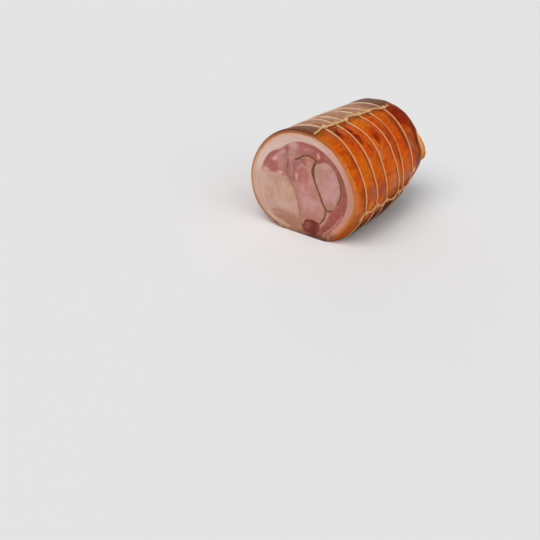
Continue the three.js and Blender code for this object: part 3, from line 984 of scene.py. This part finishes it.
def meat(name, light, dark, marks, grain=2.2, roughness=0.4):
    """Cooked meat cut across the grain: two tones in soft clouds, drawn marks, fibre bundles.

    A mark has its middle or bent line, its reach across and up or its width, a colour and a strength;
    an oval's reach may be followed by its turn and its softness.
    """
    f = Finish(name)
    at = f.warped(f.warped(f.place, 9, 1.5, 3), 2.6, 0.8, 8)
    f.color = f.mix(f.specks(10, 0.36, 0.64, 0, 4), light, dark)
    for where, size, shade, strength in marks:
        drawn = f.face_patch(at, *where, *size) if isinstance(size, tuple) else f.face_line(at, where, size)
        f.paint(drawn * strength, shade)
    stretched = f.vector("MULTIPLY", f.place, (1, 0.08, 1))
    bundles = f.cells(grain, at=f.warped(f.warped(stretched, 2.5, 1.2, 9), 0.9, 0.5, 5))
    edges = f.ease(bundles, 0.2, 0) * f.specks(5, 0.45, 0.7, 3, 2)
    pale = f.mix(0.25, light, (232, 200, 182))
    f.paint(edges * 0.22, pale)
    fibers = f.cloud(0.5, 2, at=stretched)
    f.paint(f.ease(fibers, 0.48, 0.78) * 0.25, dark)
    f.paint(f.specks(1.6, 0.6, 0.74, 21, at=stretched) * 0.3, pale)
    ragged = f.cloud(2.4, 3, 14) * 2.4
    for distance in f.from_seams(at):
        f.paint(f.ease(distance - ragged, 2, -0.2) * 0.5, HERB_STAIN)
    browned_through(f)
    shine = f.specks(4, 0.2, 0.9) * 0.22 + (roughness - 0.1)
    height = fibers * 0.4 + f.cloud(3) * 0.9 - edges * 0.25
    return f.finish(shine, f.bump(height, 0.35, 0.6), 0.25, (0.12, 0.003, (1, 0.4, 0.25)))


def loin_finish():
    return meat("loin_meat_cooked", (205, 162, 141), (193, 149, 128), (
        ((-18, 6), (36, 18), (166, 108, 86), 0.9),
        ((-24, 34), (14, 6), (204, 164, 157), 0.75),
        ((-36, 67), (14, 4, 0, 0.6), (188, 142, 128), 0.6),
        ((-46, 30), (9, 8, 0, 0.6), (190, 152, 138), 0.6),
        ((-58, 62), (7, 15, 0, 0.6), (208, 171, 158), 0.8),
        (((-44, 22), (-34, 26), (-24, 25), (-12, 23)), 2, (198, 152, 134), 0.5),
        (((-42, 20), (-30, 24), (-15, 23), (-5, 19), (3, 15)), 2.4, (164, 110, 88), 0.45),
        (LOIN_EDGE, 3.6, MEMBRANE, 0.8),
        (LOIN_TOP, 3, PALE_MEMBRANE, 0.6),
        ((-27, 70), (7, 4, -30, 0.6), (198, 142, 128), 0.6),
        (((-64, 74), (-62, 50), (-53, 27), (-37, 11), (-14, 4)), 5, (212, 176, 156), 0.7),
    ), 3)


def middle_finish():
    return meat("pink_meat_cooked", (198, 142, 133), (184, 122, 110), (
        ((-10, 84), (12, 17, 0, 0.4), (168, 100, 97), 0.85),
        ((3, 76), (8, 8), (180, 104, 95), 0.75),
        ((-13, 72), (6, 5), (163, 100, 86), 0.7),
        ((15, 47), (11, 7), (205, 151, 144), 0.7),
        ((23, 62), (4.5, 12, -20), (180, 124, 102), 0.7),
        ((20, 27), (14, 6), (180, 117, 101), 0.75),
        (((2, 60), (8, 57), (14, 58)), 1.5, (212, 162, 152), 0.4),
        (((6, 40), (16, 37), (26, 40)), 1.5, (212, 162, 152), 0.35),
        ((-7, 75.5), (2.2, 4.4, 8, 0.7), (220, 160, 149), 0.9),
        (((-6, 86), (0, 91), (8, 90)), 2.6, (204, 156, 142), 0.45),
        (LOIN_EDGE, 3.4, MEMBRANE, 0.8),
        (((-17, 92), (-14, 84), (-15, 74)), 2.2, (196, 144, 138), 0.4),
        (((-10, 98), (-12, 90), (-9, 82)), 1.6, (150, 84, 84), 0.5),
        ((-16, 99), (5, 6, 0, 0.6), (194, 144, 126), 0.6),
        (TAN_STREAK, 5, (188, 138, 122), 0.85),
    ))


def oval_finish():
    return meat("pale_meat_cooked", (199, 147, 141), (184, 131, 118), (
        ((28, 86), (9, 8), (186, 134, 114), 0.8),
        ((42, 64), (9, 15, 12), (203, 145, 145), 0.75),
        ((31, 95), (4, 3, 0, 0.7), (204, 154, 146), 0.7),
        (((42, 75), (48, 78), (54, 78)), 1.8, (218, 168, 148), 0.5),
        ((43, 48), (8, 6), (176, 118, 100), 0.8),
        (((24, 92), (21, 84), (26, 72)), 3, (190, 142, 122), 0.5),
    ))


def belly_finish():
    return meat("belly_meat_cooked", (177, 101, 91), (159, 81, 73), (
        ((0, 109), (18, 6), (178, 112, 110), 0.8),
        ((-14, 113), (6.5, 5, 0, 0.7), (208, 162, 152), 0.85),
        ((-16, 104), (6, 4, 0, 0.6), (194, 148, 132), 0.7),
        ((20, 107), (9, 4), (166, 88, 77), 0.75),
        ((37, 104), (8, 5, -40), (164, 98, 84), 0.8),
        (((44, 100), (56, 84), (62, 66), (62, 48)), 4, (150, 74, 60), 0.7),
        ((54, 34), (9, 14, -30), (160, 83, 72), 0.8),
        ((42, 13), (10, 8, 40, 0.6), (134, 60, 48), 0.85),
        ((22, 107), (1.9, 3.6, 15, 0.8), (226, 166, 150), 0.85),
        ((5, 112), (4, 1.6, 5, 0.8), (206, 146, 138), 0.6),
        (((31.5, 17), (32.4, 20), (36.1, 24.4), (39.3, 34), (41.6, 41.4)), 3.8, (208, 156, 130), 0.85),
        (TAN_STREAK, 5, (188, 138, 122), 0.85),
        (((34, 18), (40, 30), (47, 43), (55, 52)), 1.8, (190, 122, 104), 0.45),
        (((35, 5), (44, 15), (55, 28), (61, 40)), 2.4, (204, 140, 122), 0.6),
        (((34, 17), (33, 9), (29, 2)), 4, (150, 80, 70), 0.6),
    ), 2)


def top_finish():
    return meat("top_meat_cooked", (194, 128, 116), (180, 108, 96), (
        ((3, 95), (4, 4), (170, 94, 84), 0.7),
        ((9, 95), (3, 3, 0, 0.7), (204, 146, 132), 0.6),
        ((-0.5, 97), (3.5, 3, 0, 0.6), (148, 92, 76), 0.7),
    ), 1.8)


def bottom_finish():
    return meat("dark_meat_cooked", (126, 50, 34), (104, 32, 22), (
        ((13, 15), (6, 5, 10, 0.6), (152, 80, 68), 0.85),
        ((21.7, 9.5), (5, 7, 0, 0.6), (100, 30, 20), 0.8),
        ((12, 3), (9, 3), (146, 84, 64), 0.7),
        (((34, 18), (33, 10), (30, 0)), 5, (146, 82, 70), 0.8),
        (((34, 20), (31.5, 16.5)), 2.4, (182, 120, 100), 0.6),
        (((7, 4), (7.5, 14), (10, 19)), 2.6, (160, 102, 82), 0.6),
        (((8, 12), (9, 18.5), (13.4, 22), (21.8, 22.5), (29.2, 21.3)), 2.8, (112, 46, 28), 0.85),
        ((28, 21), (3.5, 2, -20), (94, 38, 20), 0.85),
    ), 1.8, 0.38)


def corner_finish():
    return meat("marbled_meat_cooked", (186, 124, 117), (173, 103, 96), (
        (((-56, 81), (-52.5, 88), (-45.5, 97), (-39, 102)), 5.5, (166, 90, 84), 0.9),
        ((-42, 80), (10, 5.5, -40), (170, 92, 83), 0.9),
        (((-27, 103), (-35, 96.5), (-42, 90)), 3, (214, 160, 152), 0.7),
        ((-39, 91), (3.6, 2.2, 30, 0.8), (230, 172, 164), 0.85),
        ((-53, 74), (4.4, 2.2, 0, 0.8), (226, 182, 166), 0.9),
        ((-31, 74.5), (4, 2, 15, 0.8), (226, 180, 164), 0.85),
        ((-26, 79), (3.5, 3, 0, 0.6), (168, 110, 94), 0.6),
        ((-30.5, 89), (6, 9), (187, 134, 128), 0.8),
        ((-60, 72), (4, 3, 0, 0.7), (200, 154, 138), 0.85),
        (((-59, 84), (-57, 76)), 2.6, (192, 144, 136), 0.6),
        (LOIN_TOP, 2.4, PALE_MEMBRANE, 0.6),
        (((-25, 110), (-23, 98), (-22, 86), (-23, 76)), 2.6, (184, 136, 114), 0.55),
    ), 2)


def herb_finish():
    """Chopped herbs and garlic: olive and brown flakes in a tan paste, ragged against the meat."""
    f = Finish("herb_filling_chopped")
    flake = f.cells(0.9, "F1", at=f.warped(f.place, 1.2, 0.5))
    f.color = f.mix(f.specks(2.2, 0.4, 0.6), (136, 88, 44), (110, 76, 30))
    f.paint(f.specks(0.8, 0.48, 0.62, 5) * 0.85, (76, 54, 18))
    f.paint(f.specks(1.3, 0.6, 0.7, 11) * 0.8, (186, 138, 88))
    f.paint(f.specks(0.5, 0.62, 0.7, 17) * 0.7, (40, 34, 12))
    f.paint(f.ease(f.x, -8, -16) * 0.85, f.mix(f.specks(3, 0.4, 0.6, 13), (178, 128, 106), (146, 100, 76)))
    f.paint(f.face_patch(f.place, -22, 97.4, 5, 4.5) * 0.7, (186, 144, 122))
    f.paint(f.face_patch(f.place, -21, 88, 5, 5) * 0.7, (136, 74, 58))
    f.paint(f.ease(f.z, 99, 102) * f.ease(f.x, -14, -8) * 0.35, (150, 92, 66))
    f.paint(f.ease(f.x + f.cloud(8) * 8, 50, 56) * 0.3, (150, 98, 66))
    nearest = least(f.from_seams(f.warped(f.place, 4, 0.6)))
    bare = f.face_patch(f.place, 15.5, 87, 5, 9, 0, 0.3)
    faint = f.face_patch(f.place, 42, 98, 12, 9, 0, 0.4) * 1.1
    ragged = nearest - bare * 1.2 + faint + (f.cloud(1.8, 3, 31) - 0.5) * 2.8
    f.paint(f.ease(ragged, 0.5, 1.2) * 0.85, f.mix(f.cloud(4), (178, 124, 98), (168, 110, 88)))
    f.paint(f.ease(f.y, 197, 203) * 0.8, (84, 44, 18))
    return f.finish(f.cloud(1, 2) * 0.3 + 0.5, f.bump(flake * 0.8 + f.cloud(0.7, 2), 0.4), 0.25)


# Patches of the roasted skin: distance from the cut, angle, reach along and around, colour, strength
RIND_PATCHES = (
    (8, 72, 14, 16, (192, 90, 0), 0.85),
    (13, 36, 6, 20, (204, 80, 2), 0.8),
    (1.5, 12, 3.5, 30, (220, 146, 84), 0.65),
    (18, 48, 3, 24, (150, 54, 2), 0.6),
    (16, 3, 4, 9, (140, 54, 16), 0.6),
    (8, -15, 9, 8, (196, 120, 52), 0.7),
    (37, 60, 8, 8, (172, 52, 0), 0.7),
    (35.5, 69, 6, 8, (84, 12, 0), 0.95),
    (36, 43, 6, 7, (202, 70, 0), 0.75),
    (39, 24, 9, 13, (214, 106, 6), 0.85),
    (34, 2, 9, 6, (172, 84, 44), 0.8),
    (33, -9, 9, 3, (206, 124, 14), 0.8),
    (68, 66, 6, 8, (206, 90, 0), 0.7),
    (60, 60, 5, 12, (140, 26, 0), 0.9),
    (59, 60, 4, 12, (126, 16, 0), 0.9),
    (70, 40, 6, 7, (192, 56, 0), 0.75),
    (68, 20, 9, 12, (208, 95, 0), 0.85),
    (62, 0, 9, 6, (156, 70, 42), 0.8),
    # Painted highlight: pale pinkish patch on the bulge beside ring 2
    (56, 30, 3.5, 6, (216, 138, 96), 0.5),
    (95, 70, 13, 10, (208, 104, 0), 0.9),
    (100, 47, 7, 9, (168, 34, 0), 0.85),
    (99, 43, 4.5, 7, (128, 12, 0), 0.85),
    (105, 14, 12, 13, (218, 95, 0), 0.85),
    # Painted highlight: pale pinkish patch on the bulge beside ring 3
    (88, 30, 4, 8, (216, 142, 100), 0.5),
    (96, 0, 12, 8, (204, 108, 50), 0.8),
    (126, 38, 8, 30, (172, 58, 10), 0.8),
    (129, 61, 5, 8, (204, 98, 22), 0.6),
    (127, 33, 4, 10, (168, 40, 4), 0.6),
    (124, -2, 12, 6, (176, 104, 60), 0.7),
    (135, 62, 4, 10, (216, 120, 30), 0.7),
    (146, 58, 10, 12, (190, 77, 2), 0.75),
    (150, 30, 12, 14, (220, 80, 0), 0.8),
    (146, 10, 12, 6, (208, 96, 10), 0.6),
    (161, 42, 4.5, 30, (128, 48, 2), 0.85),
    (146, -4, 14, 6, (186, 98, 58), 0.6),
    (186, 60, 20, 18, (112, 18, 0), 0.92),
    (187, 54, 8, 8, (160, 36, 0), 0.6),
    (178, 24, 9, 14, (150, 66, 36), 0.85),
    # Painted highlight: pale pinkish patch on the bulge beside ring 6
    (176, 22, 4, 8, (196, 122, 92), 0.5),
    (196, 22, 8, 24, (90, 24, 2), 0.9),
    (186, 2, 12, 9, (104, 40, 10), 0.85),
)


# Streaks and spots of the fat at the foot of the cut face: place, size, and colour of each spot
FOOT_STREAKS = (
    (((37.5, 10), (40, 4.5)), 2),
    (((43, 9), (44.5, 4)), 2.2),
    (((49, 21), (51, 14)), 2),
    (((54, 26), (57, 19)), 3),
)
FOOT_SPOTS = (
    ((22, 3), (7, 5), (78, 26, 14)),
    ((45, 7), (2.6, 2.4), (168, 116, 96)),
    ((38, 7), (2, 2.4), (176, 120, 102)),
)


def skin_colors(f, angle, in_front, behind):
    """Clouds of orange, amber and dark red, drawn patches, and painted shade in the grooves beside the
    twine.
    """
    flat = f.warped(f.warped(f.joined(angle, f.y), 12, 6, 2), 3, 1.8, 7)
    f.color = f.mix(f.specks(20, 0.36, 0.64, 0, 4), (208, 76, 0), (218, 101, 3))
    f.paint(f.specks(12, 0.46, 0.68, 40) * 0.7, (202, 62, 0))
    f.paint(f.specks(9, 0.56, 0.72, 60) * 0.6, (212, 97, 3))
    for y, turn, along, around, shade, strength in RIND_PATCHES:
        f.paint(f.patch(flat, (turn, y, 0), (around, along, ENDLESS)) * strength, shade)
    streaks = f.joined(angle * 1.2, f.y * 0.25)
    f.paint(f.specks(7, 0.5, 0.7, at=streaks) * 0.5, (160, 50, 0))
    before_end = f.ease(f.y, 182, 158)
    f.paint(before_end * f.specks(6, 0.54, 0.7, 19, at=streaks) * 0.4, (232, 128, 20))
    f.paint(f.specks(5, 0.5, 0.72, 15) * 0.4, (160, 46, 0))
    f.paint(before_end * f.specks(4.2, 0.54, 0.72, 25) * 0.35, (236, 136, 26))
    # Painted shade: the skin darkened broadly in front of and behind each ring, where the grooves lie in
    # shade
    patchy = f.specks(10, 0.2, 0.6, 52)
    f.paint(f.ease(in_front, 7, 2) * patchy * 0.6, (118, 52, 2))
    f.paint(f.ease(behind, 5, 1.5) * patchy * 0.35, (118, 46, 2))


def rind_finish():
    """Roasted skin: orange on the right, paler past the top string (partly painted sheen), dark at the foot
    from painted shade, oily.
    """
    f = Finish("roasted_rind")
    angle = f.angle()
    in_front, behind = f.attribute("in_front_of_twine"), f.attribute("behind_twine")
    skin_colors(f, angle, in_front, behind)

    past_string = angle + f.y * 0.05 + 4 * f.cloud(12) + f.ease(f.y, 26, 4) * 7
    past_string = past_string + f.ease(f.y, 178, 190) * (f.cloud(22, 3, 66) - 0.5) * 40
    # Past the top string the skin turns a paler pinkish brown: partly its own colour, partly a painted sheen
    left = f.ease(past_string, 85, 90) * f.ease(angle + 60 * f.cloud(30, 4, 44), 176, 142)
    f.paint(left * 0.94, f.mix(f.specks(12, 0.25, 0.75, 30, 4), (150, 98, 68), (192, 146, 112)))
    f.paint(left * f.specks(7, 0.55, 0.68, 35) * 0.4, (164, 88, 46))
    f.paint(left * f.ease(f.y + 14 * f.cloud(10), 36, 20) * 0.85, (104, 46, 12))
    f.paint(left * f.ease(f.y + 24 * f.cloud(12), 150, 190) * 0.85, (92, 58, 44))

    # Painted shade: the skin darkened towards the foot, where the underside gets little light; near the cut
    # it is painted amber instead
    foot = f.ease(angle + 16 * f.cloud(14) - f.ease(f.y, 50, 85) * 8, -2, -20)
    foot = foot * f.ease(angle + 40 * f.cloud(25), -150, -110)
    near_cut = f.ease(f.y + 6 * f.cloud(9), 28, 16)
    f.paint(foot * (1 - near_cut * 0.85) * 0.93, f.mix(f.cloud(8, 4, 33), (22, 6, 0), (74, 26, 2)))
    f.paint(foot * near_cut * 0.7, (166, 80, 24))
    f.paint(f.ease(f.y + 12 * f.cloud(15), 198, 214) * 0.9, f.mix(f.cloud(6, 4), *DARK_CRUST))

    # Painted shadow: a dark line on the skin just below the top string
    string_shadow_distance = f.from_line(f.joined(angle, 0, f.y), [(turn - 3.5, y) for turn, y in TOP_STRING])
    f.paint(f.ease(string_shadow_distance, 4, 1.5) * f.specks(6, 0.1, 0.5, 55, 2) * 0.55, (104, 50, 6))
    # Painted shade: thin dark lines along both sides of each ring, where the groove walls lie in shade
    lines = f.ease(in_front, 0.9, 1.5) * f.ease(in_front, 3.8, 2) * 0.85
    lines = lines.sum("MAXIMUM", f.ease(behind, 0.9, 1.5) * f.ease(behind, 3, 1.8) * 0.6)
    f.paint(lines * f.specks(8, 0.1, 0.5, 50, 2), (92, 42, 2))
    rim = f.ease(f.y + 2 * f.cloud(5), 5, 1)
    f.paint(rim * f.ease(angle, 84, 66) * 0.65, (190, 104, 40))
    f.paint(rim * f.ease(angle, 70, 84) * 0.7, (98, 54, 26))
    f.paint(f.specks(1.4, 0.64, 0.74, 9) * 0.3, (110, 40, 4))
    shine = f.specks(5, 0.3, 0.75, 0, 4) * 0.2 + 0.3 + left * 0.12 + foot * 0.3
    pores = f.ease(f.cells(1.7, "F1"), 0.25, 0.02)
    height = f.cloud(3) * 1.2 - pores * 0.4 + f.cloud(8) * 1.6
    return f.finish(shine, f.bump(height, 0.4, 0.7), 0.07, (0.02, 0.002, (1, 0.3, 0.1)))


def fat_finish():
    """Cut edge of the skin and the fat under it, in layers that follow the skin, with painted shade towards
    the bottom.
    """
    f = Finish("rind_edge_and_fat")
    uneven = f.attribute("depth") + (f.cloud(9) - 0.5) * 1.8 + (f.cloud(1.5, 2, 8) - 0.5) * 0.8
    right = f.ease(f.x + (f.cloud(14) - 0.5) * 16, 6, 56)
    left = f.ease(f.x + (f.cloud(14) - 0.5) * 20, -30, -62)
    top = f.ease(f.z, 88, 112)
    thin = f.ease(f.x, 24, 40) * f.ease(f.z, 70, 90) * 0.8
    edge = uneven + thin - top * f.ease(f.x, 24, -6) * 0.8
    f.color = f.mix(f.cloud(16, 4), (230, 199, 186), (218, 184, 170))
    f.paint(left * f.ease(f.z, 84, 60) * 0.9, (208, 166, 144))
    # Painted shade: the fat on the left darker towards the bottom
    f.paint(left * f.ease(f.z, 50, 20) * 0.7, (194, 150, 126))
    f.paint(right * 0.9, f.mix(f.ease(f.z, 104, 66), (210, 156, 142), (194, 132, 114)))
    layers = f.joined(uneven * 2.2, f.x * 0.1, f.z * 0.1)
    f.paint(f.specks(3.4, 0.45, 0.62, at=layers) * 0.36, (188, 140, 130))
    f.paint(f.specks(2.4, 0.52, 0.66, 12, at=layers) * f.ease(right, 0.8, 0.2) * 0.4, (232, 204, 190))
    f.paint(f.ease(f.attribute("from_meat") + f.cloud(3, 2, 4) * 1.6, 3.4, 0.6) * 0.4, (196, 140, 130))

    peach = f.mix(top, f.mix(right, (214, 164, 134), (204, 142, 110)), (222, 166, 128))
    f.paint(f.ease(edge, 7, 3.4) * 0.85, peach)
    top_crust = f.mix(f.ease(f.x, 0, 26), (160, 92, 44), (188, 110, 48))
    crust = f.mix(top, f.mix(right, (196, 138, 100), (196, 118, 62)), top_crust)
    f.paint(f.ease(edge, 3.8, 1.9) * 0.9, f.mix(left * top, crust, (178, 120, 78)))
    f.paint(f.ease(f.x, 60, 30) * f.ease(uneven, 1.9, 0.7) * (0.75 - left * 0.4), (128, 70, 30))
    f.paint(f.ease(f.x, 36, 60) * f.ease(uneven, 1.6, 0.7) * 0.7, (188, 104, 40))

    at = f.warped(f.place, 4, 1)
    # Painted shadow: the fat darker at the bottom on the right, with paler streaks drawn through it
    bottom = f.ease(f.z + 3 * f.cloud(6), 21, 8) * f.ease(f.x, 18, 32)
    f.paint(bottom * 0.8, (126, 62, 46))
    for streak, width in FOOT_STREAKS:
        f.paint(f.face_line(f.warped(at, 5, 3), streak, width) * bottom * 0.7, (206, 142, 120))
    # Painted shade: the outer rim of the fat darker low on the left
    low = f.ease(f.z + 4 * f.cloud(8, 3, 27), 52, 20) * f.ease(f.x, 20, -10)
    f.paint(low * f.ease(uneven, 7, 1) * 0.6, (142, 98, 72))
    # Painted shade: a dark band along the bottom edge of the fat, speckled paler on the left
    under_left = f.mix(f.specks(9, 0.4, 0.6, 39), (122, 82, 60), (176, 140, 110))
    under = f.mix(f.ease(f.x, -20, 20), under_left, (104, 58, 40))
    f.paint(f.ease(f.z + 3 * f.cloud(6, 3, 5), 13, 4) * 0.85, under)
    for middle, reach, shade in FOOT_SPOTS:
        f.paint(f.face_patch(at, *middle, *reach, 0, 0.6) * 0.7, shade)
    height = f.cloud(2) + f.cloud(0.7, 2) * 0.4
    return f.finish(f.cloud(3) * 0.25 + 0.3, f.bump(height, 0.3, 0.6), 0.25, (0.15, 0.003, (1, 0.6, 0.45)))


def lip_finish():
    """Loose skin: amber and brown, with a painted highlight of pale tan on its near part and painted shadow
    of dark brown where it joins the roast.
    """
    f = Finish("loose_skin")
    f.color = f.mix(f.specks(6, 0.35, 0.65, 0, 4), (218, 138, 66), (204, 112, 30))
    # Painted highlight: pale tan on the near part of the lip
    f.paint(f.ease(f.y + 4 * f.cloud(5), 208, 202) * 0.7, (238, 170, 104))
    tip = f.mix(f.cloud(4, 4), (150, 58, 8), (206, 104, 26))
    f.paint(f.ease(f.y + 6 * f.cloud(4), 209, 214) * 0.85, tip)
    # Painted shadow: dark brown where the lip meets the skin
    f.paint(f.ease(f.y + 3 * f.cloud(5), 200, 195) * 0.9, (110, 44, 12))
    f.paint(f.ease(f.z + 4 * f.cloud(4), 82, 68) * 0.85, (198, 102, 14))
    f.paint(f.ease(f.z + 4 * f.cloud(4), 69, 63) * 0.6, (140, 62, 8))
    f.paint(f.specks(2, 0.55, 0.7, 7) * 0.55, (166, 84, 30))
    return f.finish(f.cloud(3) * 0.2 + 0.35, f.bump(f.cloud(2, 4), 0.4, 0.7), 0.1, (0.1, 0.003))


def twine_finish():
    """Cotton, cream on top and stained orange by the fat on the flank."""
    f = Finish("cotton_twine")
    angle = f.angle()
    flank = f.ease(angle + (f.cloud(18) - 0.5) * 20, 82, 64) * f.ease(angle, -8, 2)
    f.color = f.mix(flank, (234, 202, 172), (238, 160, 106))
    f.paint(f.ease(angle, 2, -8) * f.ease(angle, -150, -130), (222, 166, 112))
    f.paint(f.ease(angle, 71, 76) * f.ease(angle, 90, 85) * 0.7, (224, 184, 120))
    f.paint(f.patch(f.joined(angle, f.y), (38, 134, 0), (26, 8, ENDLESS), 0, 0.4) * 0.8, (222, 112, 46))
    f.paint(f.specks(9, 0.5, 0.7, 4) * 0.4, (206, 128, 70))
    f.paint(f.specks(14, 0.52, 0.7, 24) * 0.35, (222, 178, 96))
    fibers = f.cloud(0.35)
    f.paint(f.ease(fibers, 0.5, 0.8) * 0.35, (160, 104, 56))
    return f.finish(0.1 * fibers + 0.75, f.bump(fibers, 0.15), 0.15)


# The finished roast

def dress(piece, nodes, slot, *finishes):
    for finish in finishes:
        piece.data.materials.append(finish)
    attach(piece, "root")
    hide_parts(*nodes)


def build_roast():
    dress(rind_and_fat(), ["rind_and_fat"], "rind_and_fat", rind_finish(), fat_finish())
    dress(loose_lip(), ["rind_and_fat"], "rind_and_fat", lip_finish())
    filling_and_muscles()
    cotton = twine_finish()
    for piece in kitchen_twine():
        dress(piece, ["twine"], "twine", cotton)


# Floor, light and camera

CAMERA_PLACE = (356.8, -588.75, 335)
CAMERA_AZIMUTH = 34
CAMERA_DOWN = 29.686
CAMERA_ROLL = 2.335
LENS = 39.497


def floor():
    bpy.ops.object.select_all(action="DESELECT")
    bpy.ops.mesh.primitive_plane_add(size=60)
    piece = bpy.context.object
    piece.name = "pale_floor"
    material = bpy.data.materials.new("pale_floor")
    material.use_nodes = True
    shader = material.node_tree.nodes["Principled BSDF"]
    shader.inputs["Base Color"].default_value = (0.86, 0.855, 0.85, 1)
    shader.inputs["Roughness"].default_value = 0.8
    shader.inputs["Specular IOR Level"].default_value = 0.1
    piece.data.materials.append(material)


def soft_light(name, azimuth, elevation, strength, spread):
    """Light from far off; azimuth as seen from above, 0 from the cut side, 90 from +X."""
    light = bpy.data.lights.new(name, "SUN")
    light.energy = strength
    light.angle = math.radians(spread)
    a, e = math.radians(azimuth), math.radians(elevation)
    toward = Vector((math.sin(a) * math.cos(e), -math.cos(a) * math.cos(e), math.sin(e)))
    lamp = linked(name, light)
    lamp.rotation_mode = "QUATERNION"
    lamp.rotation_quaternion = toward.to_track_quat("Z", "Y")


def studio():
    floor()
    soft_light("key_light", -12, 55, 1.75, 50)
    soft_light("side_light", 70, 38, 0.9, 60)
    soft_light("back_light", 222, 12, 0.5, 50)
    scene = bpy.context.scene
    scene.world = scene.world or bpy.data.worlds.new("studio")
    scene.world.use_nodes = True
    background = scene.world.node_tree.nodes["Background"]
    background.inputs["Color"].default_value = (0.95, 0.97, 1, 1)
    background.inputs["Strength"].default_value = 0.25
    scene.view_settings.view_transform = "Standard"


def camera():
    data = bpy.data.cameras.new("camera")
    data.sensor_width = 36
    data.lens = LENS
    data.clip_start, data.clip_end = 0.01, 100
    piece = linked("camera", data)
    piece.location = to_metres(*CAMERA_PLACE)
    a, down = math.radians(CAMERA_AZIMUTH), math.radians(CAMERA_DOWN)
    ahead = Vector((-math.sin(a) * math.cos(down), math.cos(a) * math.cos(down), -math.sin(down)))
    roll = Quaternion((0, 0, 1), math.radians(CAMERA_ROLL))
    piece.rotation_euler = (ahead.to_track_quat("-Z", "Y") @ roll).to_euler()
    bpy.context.scene.camera = piece


build_roast()
studio()
camera()
